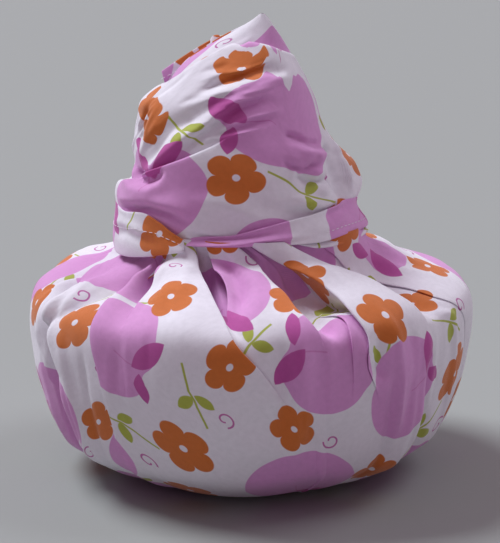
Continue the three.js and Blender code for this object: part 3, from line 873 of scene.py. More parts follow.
# %% [markdown]
# ## Creases on the knob
#
# The wound cloth is dragged up to the right from a pocket at the left. Its creases fan out from there.
# The other short ones crumple the bights at the right. The same crease tool serves, because these too
# run along the pull: only here `up` is the height.

# %% The knob's drag creases
KNOB_RADIUS = 44.0  # turns azimuth into millimetres when a crease's distance is measured
KNOB_CREASES = [
    crease("drag_one", 1.5, 1.8, 1.6, (-30, 148), (-26, 148.9), (-10, 154.3), (1, 159.7), (21, 163.2),
           (40, 164.5)),
    crease("drag_two", 2.8, 3.2, 2.0, (-66, 135), (-60, 137.7), (-42, 145.8), (-31, 151.5),
           (-21, 156.2), (-14, 159.4), (-6, 164.8), (4, 170), (20, 173.2), (44, 174)),
    crease("drag_three", 0.9, 1.5, 1.5, (-10, 151.5), (2, 156.8), (16, 158.5), (33, 159.6)),
    crease("drag_four", 2.4, 1.8, 3.4, (-34, 167.5), (-19, 170.4), (-9, 173.8), (6, 176.5), (24, 178.2),
           (60, 178.8)),
    crease("between_one", -1.4, 1.5, 1.5, (-24, 149.5), (-2, 156.8), (16, 161), (40, 161.8)),
    crease("between_two", -2, 1.9, 2.4, (-38, 146.5), (-10, 158.6), (8, 165.6), (21, 168.4),
           (44, 168.4)),
    crease("between_three", -2.7, 4.5, 2.2, (-66, 139), (-55, 144), (-37, 157.2), (-26, 160.8),
           (-16, 165), (-4, 171)),
    crease("between_four", -2.6, 2.4, 1.7, (-34, 171), (-23, 173.6), (-13, 176.8), (4, 179.3),
           (25, 181.6), (58, 180.3)),
    crease("left_swag", -0.9, 4.0, 3.0, (-95, 160), (-75, 152), (-60, 150), (-46, 156)),
    crease("left_strain", 0.8, 3.0, 3.0, (-98, 170), (-80, 164), (-62, 166), (-48, 176)),
    crease("left_drape", -0.8, 2.2, 2.2, (-50, 182), (-60, 172), (-68, 160), (-70, 146)),
]
print("drags:", lifts_of(KNOB_CREASES))

# %% The creases round the pocket and the collar
POCKET_CREASES = [
    crease("pocket_rim", 2.4, 1.4, 3.8, (-84, 139), (-71, 134.2), (-62, 132), (-55, 131), (-48, 131.4),
           (-42, 133.6), (-37, 139)),
    crease("pocket", -4.6, 2.0, 1.5, (-74, 136.2), (-62, 134), (-52, 134.6), (-44, 137.4), (-38, 142)),
    crease("collar_tuck", -1.3, 1.4, 1.4, (-26, 116.5), (-18, 114.2), (-10, 112), (-4, 112)),
    crease("collar_shadow", -2.2, 1.2, 1.6, (-74, 120), (-62, 121.5), (-46, 123.6), (-34, 122.6),
           (-26, 120), (-18, 117)),
    crease("collar_overhang", 1.3, 2.6, 1.4, (-80, 124), (-62, 125.5), (-46, 127), (-34, 126.4),
           (-24, 124), (-14, 121)),
]
print("pocket:", lifts_of(POCKET_CREASES))

# %% The creases of the bights at the right
BIGHT_CREASES = [
    crease("bight_hollow", -3.4, 1.8, 1.4, (32, 155), (38, 154), (45, 152.2), (51, 149.8), (62, 148.6),
           (70, 149.5)),
    crease("bight_ridge", 1.9, 1.1, 3.0, (30, 151), (39, 150.6), (44, 148.8), (51, 146.6), (60, 146.2),
           (70, 147)),
    crease("knuckle_hollow", -3.0, 1.4, 1.6, (26, 144.5), (34, 142), (40, 140.4), (47, 141.8),
           (54, 143.6)),
    crease("low_hollow", -2.8, 1.8, 1.8, (31, 139.5), (38, 136.6), (45, 134.8), (52, 134), (58, 134.6)),
    crease("low_ridge", 2.8, 1.6, 2.6, (26, 129.6), (34, 128.4), (41, 126.4), (49, 125.6), (58, 126.8),
           (68, 127.6)),
    crease("outer_bight_edge", 2.8, 4.2, 0.9, (82, 152), (79, 147), (76.5, 142), (75.5, 137.5),
           (75.5, 133), (76.5, 129), (80, 125.4)),
    crease("inner_bight_fold", -3.2, 1.6, 2.2, (74, 148), (66, 142.4), (60.5, 138.5), (61.5, 133.9),
           (62.5, 129), (70, 124.5)),
    crease("bight_point", 1.0, 1.4, 2.0, (58, 121), (68, 122), (78, 124.6), (88, 128)),
    crease("front_hollow", -0.9, 2.6, 3.2, (6, 128), (18, 126), (30, 123), (44, 121.5)),
    crease("front_slack", 0.8, 3.0, 3.0, (-24, 131), (-6, 128), (10, 122.5), (24, 119.5)),
]
print("bights:", lifts_of(BIGHT_CREASES))

# %% The knob's fine wrinkles
KNOB_CREASES += POCKET_CREASES + BIGHT_CREASES
KNOB_CREASES += fine_creases(
    count=22, seed=3, azimuths=(-40, 10), ups=(150, 181),
    run=(24, 52), rise=(2.0, 6.0), lift=(0.5, 1.1), width=(0.8, 1.5))
KNOB_CREASES += fine_creases(
    count=9, seed=4, azimuths=(-96, -62), ups=(140, 150),
    run=(6, 26), rise=(14, 28), lift=(0.5, 1.0), width=(1.2, 2.2))
KNOB_CREASES += fine_creases(
    count=9, seed=6, azimuths=(28, 74), ups=(118, 146),
    run=(8, 18), rise=(-5.0, 6.0), lift=(0.6, 1.2), width=(0.9, 1.6))
KNOB_CREASES += fine_creases(
    count=26, seed=9, azimuths=(96, 240), ups=(112, 176),
    run=(14, 40), rise=(-3.0, 9.0), lift=(0.5, 1.4), width=(1.2, 2.6))
print(len(KNOB_CREASES), "creases on the knob")

# %% [markdown]
# ## The wound cloth
#
# The cloth is wound round the knob from the collar up. Its lower turn stands out over the upper one
# along a slanting lip, which dies out at the front right, where both are one smooth cloth again. The
# upper turn ends in a rolled edge round the cap. Two separate shells would show an open edge where the
# lip dies out. So it is one sheet, and the lip is a knife pleat that runs round the knob instead of up it.

# %% The lips of the two turns
LOWER_LIP = rows_of(
    "azimuth height stand",
    (-160, 134, 0),
    (-115, 128, 3.0),
    (-87, 130.5, 4.4),
    (-66, 134.2, 4.4),
    (-49, 139.8, 4.2),
    (-28, 145.9, 3.4),
    (-10, 151.5, 1.8),
    (6, 155.8, 0),
    (30, 157, 0),
    (90, 148, 0),
    (150, 138, 0),
)
UPPER_LIP = rows_of(
    "azimuth height",
    (-150, 179),
    (-110, 172),
    (-78, 174),
    (-47, 186.5),
    (-28, 191.5),
    (0, 190.5),
    (35, 189),
    (95, 184),
    (150, 187),
)


def around(table, name):
    return track(column_of(table, "azimuth"), column_of(table, name), 360.0)


print("the lower lip in front:", round(float(around(LOWER_LIP, "height")(0.0)), 1), "mm up")

# %% Rows up the two turns
TURBAN_FOOT = 101.0
LOWER_ROWS, UPPER_ROWS = 40, 60
LIP_ROLL, EDGE_ROLL = 0.9, 1.2  # radii of the lip and of the upper turn's edge
HIDDEN_TURN = 9.0  # how far the lower turn's cloth runs back down behind its lip
HIDDEN_RELIEF = 0.3  # the share of the creases that the hidden cloth keeps
TUCKED, TUCKED_IN = 9.0, 2.5  # how far the edge goes on down inside the cap, and inwards
HALF_ROLL = np.radians([36, 72, 108, 144, 180])  # over an edge, from outside to inside
TURN_BACK = np.radians([-60, -120, 180])  # round the bottom of the hidden cloth


def lower_turn(lip, stand, held):
    """Rows of (height, stand, relief) up the lower turn, over its lip and down behind it."""
    roll, hidden = LIP_ROLL * held, HIDDEN_TURN * held
    edge, kept = lip - roll, lerp(1.0, HIDDEN_RELIEF, held)
    rows = []
    for t in np.linspace(0.0, 1.0, LOWER_ROWS):
        height = lerp(TURBAN_FOOT, edge, t)
        rows.append((height, stand * ease((height - TURBAN_FOOT) / (lip - TURBAN_FOOT)) ** 0.7, 1.0))
    for angle in HALF_ROLL:
        rows.append((edge + roll * math.sin(angle), stand - roll + roll * math.cos(angle), 1.0))
    for t in (0.5, 1.0):
        rows.append((edge - hidden * t, lerp(stand - 2 * roll, 2 * roll, t), kept))
    for angle in TURN_BACK:
        rows.append((edge - hidden + roll * math.sin(angle), roll + roll * math.cos(angle), kept))
    return rows


def upper_turn(start, top, held):
    """Rows of (height, stand, relief) up the upper turn, over its edge and down inside it."""
    rows = []
    for t in np.linspace(0.0, 1.0, UPPER_ROWS)[1:]:
        rows.append((lerp(start, top - EDGE_ROLL, t), 0.0, lerp(1.0, ease(t * 6.0), held)))
    for angle in HALF_ROLL:
        down, inwards = 1 - math.sin(angle), 1 - math.cos(angle)
        rows.append((top - EDGE_ROLL * down, -EDGE_ROLL * inwards, 1.0))
    for t in (0.5, 1.0):
        rows.append((top - EDGE_ROLL - TUCKED * t, -2.0 * EDGE_ROLL - TUCKED_IN * t, 0.5))
    return rows


print("rows up the turban:", LOWER_ROWS + 2 * len(HALF_ROLL) + len(TURN_BACK) + UPPER_ROWS + 3)

# %% Place the turban's points
TURBAN_COLUMNS = 400
APART = 2.0  # the lower turn's cloth is folded behind its lip where it stands this far off
ROW_GAP = 0.02  # keeps the folded rows apart where the lip is flat


def turban_grid():
    """The azimuth of each column, and each point's height, stand off the knob and share of the creases."""
    azimuth = np.linspace(-180.0, 180.0, TURBAN_COLUMNS, endpoint=False)
    lip, stand = (around(LOWER_LIP, name)(azimuth) for name in ("height", "stand"))
    stand = np.maximum(stand, 0.0)
    held = ease(stand / APART)
    rows = lower_turn(lip, stand, held)
    start = lip - LIP_ROLL * held - HIDDEN_TURN * held
    rows += upper_turn(start, around(UPPER_LIP, "height")(azimuth), held)
    height, off, relief = (np.stack([row[i] + 0.0 * lip for row in rows]) for i in range(3))
    height = height + np.arange(len(rows))[:, None] * ROW_GAP * (1.0 - held)
    return azimuth[None, :], height, off, relief


def turban_points():
    azimuth, height, off, share = turban_grid()
    relief = crease_relief(KNOB_CREASES, azimuth, height, KNOB_RADIUS)
    relief += 0.3 * unevenness(azimuth, height, 21, (3, 12), (14.0, 40.0))
    off = off + lobes_at(azimuth, height) + relief * share
    return knob_form(azimuth + 0 * height, height, off), azimuth + 0 * height


turban_places, turban_azimuth = turban_points()
print("the turban goes up to", turban_places[..., 2].max().round(1), "mm")

# %% [markdown]
# The knob's cloth is laid flat as a cone is unrolled: the length up the cloth tells the distance from the
# cone's tip, and the azimuth turns into a much smaller angle about it. A cylinder would unroll more
# simply, but its print would be squeezed towards the top.
#
# The cloth that the lip hides isn't counted, so the print carries on over the lip without a jump. The
# hidden rows get the lengths in between.

# %% Unroll the turban
CONE_TIP = 150.0  # distance from the turban's foot up to the tip of the cone it unrolls from
CONE_SHARE = 0.36  # how much of a full turn the unrolled cone takes
LIP_TOP = LOWER_ROWS + 1  # the grid's row on top of the lip
FIRST_ABOVE_LIP = LOWER_ROWS + len(HALF_ROLL) + 2 + len(TURN_BACK)  # its first row of the upper turn


def unroll(up, azimuth, turn, origin, tip=CONE_TIP, share=CONE_SHARE):
    """Places on the flat cloth for a grid that closes on itself. up is each point's length up the cloth."""
    up = np.concatenate([up, up[:, :1]], axis=1)
    azimuth = np.concatenate([azimuth, azimuth[:, :1] + 360.0], axis=1)
    angle = np.radians(azimuth) * share
    return lay((tip - up) * np.sin(angle), -(tip - up) * np.cos(angle), turn, origin)


def length_past_lip(points):
    """Length up the turban without the hidden cloth."""
    up = lengths_along(points, axis=0)
    above = FIRST_ABOVE_LIP
    lip = up[LIP_TOP]
    crossing = [np.interp(points[LIP_TOP, j, 2], points[above:, j, 2], up[above:, j])
                for j in range(up.shape[1])]
    up[above:] += lip - np.array(crossing)
    for row in range(LIP_TOP + 1, above):
        up[row] = lerp(lip, up[above], (row - LIP_TOP) / (above - LIP_TOP))
    return up


turban_flat = unroll(length_past_lip(turban_places), turban_azimuth, turn=24.0, origin=(12.0, 40.0))
turban = sheet_mesh("turban_cloth", turban_places, turban_flat, closed=True)
print("turban:", len(turban.data.polygons), "faces")

# %% [markdown]
# ## The cap
#
# A last end of cloth is drawn over the top of the knob and comes to a point. It is a small cone that goes
# down inside the turban's edge, so nothing gapes where the two meet.

# %% Weave the cap
CAP_COLUMNS = 160
CAP_TOP = CAP_SECTIONS[-1]["height"]
CAP_FADE = 8.0  # the relief dies out over this height below the tip
CAP_RADIUS = 20.0  # turns azimuth into millimetres when a crease's distance is measured
CAP_CREASES = [crease("cap_fold", 0.5, 2.0, 2.0, (-40, 184), (-20, 190), (5, 195))]


def cap_grid():
    azimuth = np.linspace(-180.0, 180.0, CAP_COLUMNS, endpoint=False)[None, :]
    height = np.concatenate([np.linspace(168.0, 200.0, 40), np.linspace(200.5, CAP_TOP, 8)])[:, None]
    off = crease_relief(CAP_CREASES, azimuth, height, CAP_RADIUS)
    off += 0.25 * unevenness(azimuth, height, 31, (2, 6), (14.0, 30.0))
    off = off * ease((CAP_TOP - height) / CAP_FADE)
    return cap_form(azimuth + 0 * height, height + 0 * azimuth, off), azimuth + 0 * height


cap_places, cap_azimuth = cap_grid()
cap_flat = unroll(lengths_along(cap_places, axis=0), cap_azimuth, turn=-35.0, origin=(70.0, 20.0),
                  tip=60.0, share=0.5)
cap = sheet_mesh("cap_cloth", cap_places, cap_flat, closed=True)
print("cap:", len(cap.data.polygons), "faces")

# %% [markdown]
# ## The collar
#
# The hemmed edge of the cloth goes round the neck in two runs, with a strip of the layer beneath showing
# under the right one. A curve with a bevelled profile could follow the neck, but the runs widen, narrow
# and twist as they go, so each is a band from a table.
#
# A band's section starts inside, rolls over the top edge, comes down the outer face, turns at the bottom
# and goes back up inside by the hem's depth. So the edge is two layers thick, as a real hem is. `low` and
# `high` are the heights of the two edges, `stand` is how far the top edge stands off the knob, and `flare`
# is how much further out the bottom edge stands.

# %% The main collar's run
COLLAR_MAIN = rows_of(
    "azimuth low high stand flare",
    (-150, 102, 118, 3.5, 2.5),
    (-95, 101, 114, 1.5, 2),
    (-60, 104, 112, 0, 2),
    (-28, 109, 112.5, 0.6, 2),
    (-14, 110, 114, 1.6, 2.2),
    (-3, 110.2, 114.7, 2.2, 2.5),
    (10, 110.6, 117.5, 2.8, 2.5),
    (25, 110.4, 120.4, 3, 2.5),
    (40, 110.2, 122, 3, 2.8),
    (55, 111.2, 123.6, 2.8, 3.2),
    (70, 111.2, 124.4, 2.2, 4.6),
    (84, 110.4, 123, 0.8, 6.4),
    (100, 109, 121, 0.3, 6.6),
    (122, 106, 119, 0.8, 5),
    (150, 102, 118, 3.5, 3),
)
print("main collar, widest:", max(row["high"] - row["low"] for row in COLLAR_MAIN), "mm")

# %% The free end's run and the layer beneath
COLLAR_END = rows_of(
    "azimuth low high stand flare",
    (-165, 104, 113, 0.5, 2.5),
    (-125, 101, 120, 3.5, 2.5),
    (-90, 99, 122, 4, 2.5),
    (-66, 100, 120, 4, 2.5),
    (-48, 102.5, 121.5, 3.8, 2.5),
    (-38, 104.5, 118.5, 3.4, 2.5),
    (-31, 106, 114.8, 3.2, 2.5),
    (-25, 107, 112, 3.0, 2.5),
)
COLLAR_UNDER = rows_of(
    "azimuth low high stand flare",
    (28, 110, 114, 1.2, 2.5),
    (38, 107.6, 114, 2, 2.8),
    (53, 107.2, 114, 2.2, 3.2),
    (70, 107.6, 114, 2, 4.2),
    (90, 107, 113, 1.6, 5.4),
    (130, 102.5, 112, 1.6, 3.4),
)
print("free end, narrowest:", min(row["high"] - row["low"] for row in COLLAR_END), "mm")

# %% The collar's twist and slack
COLLAR_CREASES = [
    crease("twist_one", 1.3, 1.2, 1.2, (-26, 109.5), (-10, 111.2), (4, 112.4), (20, 113.4),
           (34, 114.4)),
    crease("twist_two", -1.4, 1.0, 1.4, (-22, 111.6), (-6, 113), (8, 114.4), (22, 116.4)),
    crease("twist_three", -1.0, 1.2, 1.4, (0, 111), (14, 111.8), (28, 112), (40, 112.2)),
    crease("right_slack", 1.0, 2.2, 2.0, (34, 115), (46, 116.5), (56, 118), (66, 118.5)),
    crease("right_sink", -1.2, 1.8, 1.8, (44, 119.5), (56, 121), (70, 121.6)),
    crease("left_slack", -0.9, 3.0, 2.0, (-78, 108), (-62, 111), (-46, 110), (-32, 109)),
    crease("left_sag", 0.9, 2.0, 2.4, (-84, 113), (-66, 115), (-50, 114), (-36, 111.6)),
]
print("collar:", lifts_of(COLLAR_CREASES))

# %% A band's section
HEM_DEPTH = 10.0
CLOTH = 0.45  # thickness of one layer of cloth, with its air
BAND_FIGURES = ("low", "high", "stand", "flare")
FACE_STEPS = 26
FIRST_FACE_ROW = 6
LOW_EDGE = FIRST_FACE_ROW + FACE_STEPS - 1  # the row of a band's grid that is its lower edge
FACE_TOP = 1.0  # how far below the upper edge a band's face starts


def band_section(low, high, stand, flare):
    """(height, stand) rows from inside the band, over its top, down its face and up its hem."""
    rows = [(high - 6.0, stand - 2.2), (high - 2.0, stand - 1.4)]
    for angle in np.radians([150, 110, 70, 30]):
        rows.append((high - CLOTH + CLOTH * math.sin(angle), stand - CLOTH + CLOTH * math.cos(angle)))
    for t in np.linspace(0.0, 1.0, FACE_STEPS):
        rows.append((lerp(high - FACE_TOP, low + CLOTH, t), stand + flare * ease(t)))
    for angle in np.radians([-30, -90, -150]):
        face = stand + flare - CLOTH
        rows.append((low + CLOTH + CLOTH * math.sin(angle), face + CLOTH * math.cos(angle)))
    turned_in = np.minimum(low + HEM_DEPTH, high - 1.5)
    for t in (0.5, 1.0):
        height = lerp(low + CLOTH, turned_in, t)
        face = stand + flare * ease((high - FACE_TOP - height) / (high - FACE_TOP - low - CLOTH))
        rows.append((height, face - 2 * CLOTH - 0.4 * t))
    return rows


print("a band's section has", len(band_section(0.0, 20.0, 0.0, 2.0)), "points")

# %% Weave the bands
COLLAR_RADIUS, COLLAR_FLAT_RADIUS = 53.0, 50.0  # turn azimuth into millimetres for creases and for the print
END_ROLL = 1.2  # the free end turns in over its last degree or so
BANDS = rows_of(
    "name table closed columns turn origin",
    ("collar_main", COLLAR_MAIN, True, 400, -8.0, (25.8, 9.9)),
    ("collar_end", COLLAR_END, False, 190, 12.0, (50.2, 52.3)),
    ("collar_under", COLLAR_UNDER, False, 120, -14.0, (88.0, 12.0)),
)


def band_edges(table, closed, columns):
    """The azimuths of a band's columns and its figures there."""
    keys = column_of(table, "azimuth")
    if closed:
        azimuth = np.linspace(-180.0, 180.0, columns, endpoint=False)
        return azimuth, [around(table, name)(azimuth) for name in BAND_FIGURES]
    azimuth = np.linspace(keys[0], keys[-1], columns)
    low, high, stand, flare = (track(keys, column_of(table, name))(azimuth) for name in BAND_FIGURES)
    end = np.clip((keys[-1] - azimuth) / END_ROLL, 0.0, 1.0)
    return azimuth, [low, high, stand - 2 * CLOTH * (1.0 - np.sqrt(1.0 - (1.0 - end) ** 2)), flare]


def band(name, table, closed, columns, turn, origin):
    """A band's piece, its points and its columns' azimuths. Its count of columns is also its seed."""
    bearings, figures = band_edges(table, closed, columns)
    height, off = (np.stack([row[i] for row in band_section(*figures)]) for i in range(2))
    azimuth = bearings[None, :] + 0.0 * height
    off = off + lobes_at(azimuth, height) + 0.25 * unevenness(azimuth, height, columns, (4, 16), (20.0, 60.0))
    off = off + crease_relief(COLLAR_CREASES, azimuth, height, COLLAR_RADIUS)
    points = knob_form(azimuth, height, off)
    up = lengths_along(points, axis=0)
    up = up[LOW_EDGE] - up + HEM_DEPTH
    run = np.radians(azimuth) * COLLAR_FLAT_RADIUS
    if closed:
        run = np.concatenate([run, run[:, :1] + 2 * math.pi * COLLAR_FLAT_RADIUS], axis=1)
        up = np.concatenate([up, up[:, :1]], axis=1)
    flat = lay(run, up, turn, origin)
    return sheet_mesh(name, points[::-1], flat[::-1], closed), points, bearings


bands = {row["name"]: band(**row) for row in BANDS}
print("collar:", {name: len(made[0].data.polygons) for name, made in bands.items()}, "faces")

# %% [markdown]
# ## The corners beside the cap
#
# Two corners of the square stand behind the cap, their hemmed edges slanting up to the right, with the
# very tip of another between them. A plane with a Solidify modifier would have a raw edge all round. Each
# is a four-sided leaf of cloth between two edge lines, gently bowed to the back, with its upper edge
# turned over as a hem.

# %% The corners' edges
LEAVES = [
    {"name": "outer_leaf", "back": 10.0, "bow": 2.5, "turn": 33.0, "origin": (52.0, 16.0),
     "upper": ((-39, 176.5), (-32, 181.5), (-25, 186), (-14.5, 191.8), (-8, 193.2)),
     "lower": ((-36, 166.5), (-28, 167), (-20, 168), (-8, 172), (0, 180))},
    {"name": "inner_leaf", "back": 5.5, "bow": 1.5, "turn": 31.0, "origin": (95.0, 60.0),
     "upper": ((-34, 175), (-27.5, 182.5), (-19, 188.5), (-11, 193.3), (-1.5, 198)),
     "lower": ((-30, 166), (-20, 168), (-10, 172), (-2, 178), (5, 188))},
    {"name": "corner_tip", "back": 8.5, "bow": 0.8, "turn": 80.0, "origin": (2.0, 90.0),
     "upper": ((-17.2, 190.8), (-16.2, 192.3), (-14.6, 192.9), (-13.2, 192.6), (-12.4, 191.2)),
     "lower": ((-17, 184), (-16, 184), (-14.5, 184.5), (-13.2, 185), (-12.4, 186))},
]
print("corners:", column_of(LEAVES, "name"))

# %% Weave the corners
LEAF_COLUMNS, LEAF_ROWS = 60, 24
LEAF_LEAN = 3.0  # how much further back the upper edge is
LEAF_HEM = (  # the row that each row of the hem lies behind, and how far off it
    (-1, (0.0, 0.25, 0.35)),
    (-1, (0.0, 0.75, 0.1)),
    (-2, (0.0, 0.8, 0.0)),
    (-9, (0.0, 0.7, 0.0)),
)


def corner_leaf(name, back, bow, turn, origin, upper, lower):
    """A leaf between two edge lines of (x, height) points. back is how far behind the axis it stands."""
    keys = np.linspace(0.0, 1.0, len(upper))
    u = np.linspace(0.0, 1.0, LEAF_COLUMNS)
    low, high = (
        np.stack([track(keys, [point[axis] for point in line])(u) for axis in (0, 1)], axis=1)
        for line in (lower, upper)
    )
    rows = []
    for v in np.linspace(0.0, 1.0, LEAF_ROWS):
        x, z = lerp(low, high, v).T
        ripple = 0.25 * np.sin(u * 7.0 + v * 3.0)
        y = back - bow * np.sin(math.pi * u) * 0.5 + LEAF_LEAN * v * v + ripple
        rows.append(np.stack([x, y, z], axis=1))
    front = np.stack(rows)
    points = np.concatenate([front, np.stack([front[row] + off for row, off in LEAF_HEM])], axis=0)
    flat = lay(lengths_along(points, axis=1), lengths_along(points, axis=0), turn, origin)
    return sheet_mesh(name, points, flat, closed=False), points


leaves = [corner_leaf(**leaf) for leaf in LEAVES]
print("corners:", [len(piece.data.polygons) for piece, points in leaves], "faces")

# %% [markdown]
# ## Shader arithmetic
#
# The print and the weave are patterns that a formula can give. They could be painted on an image, but a
# formula stays sharp at any size. Placed one by one, its nodes would be hard to read. So `Value` wraps a
# shader socket, and a sum or a product in Python becomes the Math node that works it out.

# %% Wrap a socket
class Value:
    """A number in a shader. Arithmetic on it adds Math nodes."""

    def __init__(self, shader, socket):
        self.shader, self.socket = shader, socket

    def __add__(self, other):
        return self.shader.math("ADD", self, other)

    def __radd__(self, other):
        return self.shader.math("ADD", other, self)

    def __sub__(self, other):
        return self.shader.math("SUBTRACT", self, other)

    def __rsub__(self, other):
        return self.shader.math("SUBTRACT", other, self)

    def __mul__(self, other):
        return self.shader.math("MULTIPLY", self, other)

    def __rmul__(self, other):
        return self.shader.math("MULTIPLY", other, self)

    def __truediv__(self, other):
        return self.shader.math("DIVIDE", self, other)

    def __rtruediv__(self, other):
        return self.shader.math("DIVIDE", other, self)

    def __pow__(self, other):
        return self.shader.math("POWER", self, other)

    def __abs__(self):
        return self.shader.math("ABSOLUTE", self)


print("arithmetic that a shader value knows:", sorted(name for name in vars(Value) if name.startswith("__r")))

# %% Build a material's nodes
class Nodes:
    """A material's node tree, and the one way in which nodes are added to it."""

    def __init__(self, name):
        self.material = bpy.data.materials.new(name)
        self.material.use_nodes = True
        self.tree = self.material.node_tree
        self.tree.nodes.clear()

    def node(self, kind, inputs=None, output=0, **settings):
        """Adds one node. Its settings come first, then its inputs by name or number."""
        made = self.tree.nodes.new(kind)
        for name, setting in settings.items():
            setattr(made, name, setting)
        for name, given in (inputs or {}).items():
            if isinstance(given, Value):
                self.tree.links.new(given.socket, made.inputs[name])
            else:
                made.inputs[name].default_value = given
        return Value(self, made.outputs[output]) if len(made.outputs) else None

    def wear(self, **look):
        """Ends the material with a Principled surface. look has its inputs, with _ for a space."""
        inputs = {name.replace("_", " "): given for name, given in look.items()}
        surface = self.node("ShaderNodeBsdfPrincipled", inputs)
        self.node("ShaderNodeOutputMaterial", {"Surface": surface})
        return self.material


plain = Nodes("plain").wear(Roughness=0.8)
print("the plainest material has", len(plain.node_tree.nodes), "nodes")
bpy.data.materials.remove(plain)

# %% The kinds of node that this cloth needs
class Shader(Nodes):
    """A material with sums, distances, soft edges, mixes and noise."""

    def math(self, operation, *given):
        return self.node("ShaderNodeMath", dict(enumerate(given)), operation=operation)

    def sin(self, a):
        return self.math("SINE", a)

    def cos(self, a):
        return self.math("COSINE", a)

    def most(self, a, b):
        return self.math("MAXIMUM", a, b)

    def power_of_e(self, a):
        return self.math("EXPONENT", a)

    def nearest_step(self, a, step):
        return self.math("ROUND", a / step)

    def hypot(self, a, b):
        return self.math("SQRT", a * a + b * b)

    def bearing(self, x, y):
        return self.math("ARCTAN2", y, x)

    def inside(self, distance, soft=0.22):
        """1 where distance is below zero, 0 where it is above, with a soft edge."""
        inputs = {"Value": distance, "From Min": soft, "From Max": -soft, "To Min": 0.0, "To Max": 1.0}
        return self.node("ShaderNodeMapRange", inputs, interpolation_type="SMOOTHSTEP")

    def mix(self, factor, a, b):
        """A mix of two colours."""
        return self.node("ShaderNodeMix", {0: factor, 6: a, 7: b}, output=2, data_type="RGBA")

    def noise(self, vector, scale, detail=2.0):
        return self.node("ShaderNodeTexNoise", {"Vector": vector, "Scale": scale, "Detail": detail})


trial = Shader("trial")
mask = 1.0 - trial.node("ShaderNodeValue") * 0.5
print("1 - value * 0.5 ends in", mask.socket.node.operation, "after", len(trial.tree.nodes), "nodes")
bpy.data.materials.remove(trial.material)

# %% [markdown]
# ## The print
#
# The cloth is screen-printed: flat colours with clean outlines, in a repeat. The print is drawn with
# formulas on the flat cloth. Each motif finds its nearest copy in the repeat, then measures how far a point
# is inside its outline. An image would do as well, but its pixels would show at a hem.
#
# Alternate columns of the repeat drop by half its height, as printers do to keep rows from showing.
# Lengths are millimetres of flat cloth.

# %% Inks and the repeat
REPEAT = {"width": 128.0, "height": 104.0}
INK = {
    "ground": (0.86, 0.84, 0.91, 1.0),
    "fruit": (0.73, 0.345, 0.68, 1.0),
    "leaf": (0.54, 0.1, 0.38, 1.0),
    "blossom": (0.66, 0.18, 0.035, 1.0),
    "sprig": (0.44, 0.5, 0.08, 1.0),
    "tendril": (0.56, 0.16, 0.42, 1.0),
}


def nearest_copy(place, x, y, turn, size):
    """Coordinates about the nearest copy of a motif, in its own size and turned with it."""
    s = place[0].shader
    column = s.nearest_step(place[0] - x, REPEAT["width"])
    dx = place[0] - x - column * REPEAT["width"]
    dy = place[1] - y - column * (REPEAT["height"] / 2.0)
    dy = dy - s.nearest_step(dy, REPEAT["height"]) * REPEAT["height"]
    c, n = math.cos(math.radians(turn)) / size, math.sin(math.radians(turn)) / size
    return dx * c + dy * n, dy * c - dx * n


print("inks:", ", ".join(INK))

# %% [markdown]
# ### Fruit and leaves
#
# The fruit is a circle, a little flat, with a dent at its top and a faint seam. Its leaves are where two
# circles overlap, which gives them their two points. An ellipse would have none.

# %% Draw the fruit
FRUIT = rows_of(
    "x y turn size",
    (26, 26, 20, 24.5),
    (88, 12, -65, 23.0),
    (62, 76, 130, 24.0),
)


def leaf(u, v, at, turn, long, wide, size):
    """A pointed leaf, long and wide from its middle."""
    s = u.shader
    c, n = math.cos(math.radians(turn)), math.sin(math.radians(turn))
    a = (u - at[0]) * c + (v - at[1]) * n
    b = abs((v - at[1]) * c - (u - at[0]) * n)
    radius = (long * long + wide * wide) / (2.0 * wide)
    return s.inside((s.hypot(a, b + (radius - wide)) - radius) * size)


def fruit(place, x, y, turn, size):
    """Where the fruit's body, its two leaves and its seam are."""
    s = place[0].shader
    u, v = nearest_copy(place, x, y, turn, size)
    dent = s.power_of_e(u * u * -26.0) * s.most(v, 0.0) * 0.17
    body = s.inside((s.hypot(u, v * 1.07) + dent - 1.0) * size)
    seam = s.inside((abs(u + 0.10 - v * v * 0.34) - 0.012) * size) * s.inside((abs(v - 0.42) - 0.34) * size)
    large = leaf(u, v, (0.34, 0.70), 24.0, 0.42, 0.19, size)
    small = leaf(u, v, (-0.28, 0.86), 150.0, 0.28, 0.13, size)
    return body, s.most(large, small), seam


print(len(FRUIT), "fruit in a repeat")

# %% [markdown]
# ### Blossoms
#
# Five round petals are one outline: a circle whose radius swings five times in a turn. Five circles
# would need five distances, and this needs one.

# %% Draw the blossoms
BLOSSOMS = rows_of(
    "x y turn size",
    (57, 42, 10, 11.5),
    (112, 50, 40, 12.5),
    (14, 64, 70, 11.0),
    (104, 88, 25, 11.5),
    (34, 96, 55, 10.5),
)


def blossom(place, x, y, turn, size):
    """Where the petals and their small pale eye are."""
    s = place[0].shader
    u, v = nearest_copy(place, x, y, turn, size)
    petal = abs(s.cos(s.bearing(u, v) * 2.5)) ** 0.55
    distance = s.hypot(u, v)
    return s.inside((distance - (petal * 0.36 + 0.64)) * size * 0.8), s.inside((distance - 0.13) * size)


print(len(BLOSSOMS), "blossoms in a repeat")

# %% [markdown]
# ### Sprigs and tendrils
#
# A sprig's stem is a thin bow, cut off at both ends, with two leaves. A tendril is one turn of a spiral:
# the distance from its middle grows with the bearing.

# %% Draw the sprigs and the tendrils
SPRIGS = rows_of(
    "x y turn reach",
    (84, 50, 8, 17.0),
    (32, 58, -35, 12.0),
    (84, 96, -25, 12.0),
    (126, 24, 80, 14.0),
)
TENDRILS = rows_of(
    "x y turn size",
    (47, 6, 30, 4.4),
    (92, 66, 190, 4.6),
    (8, 86, 280, 4.2),
)


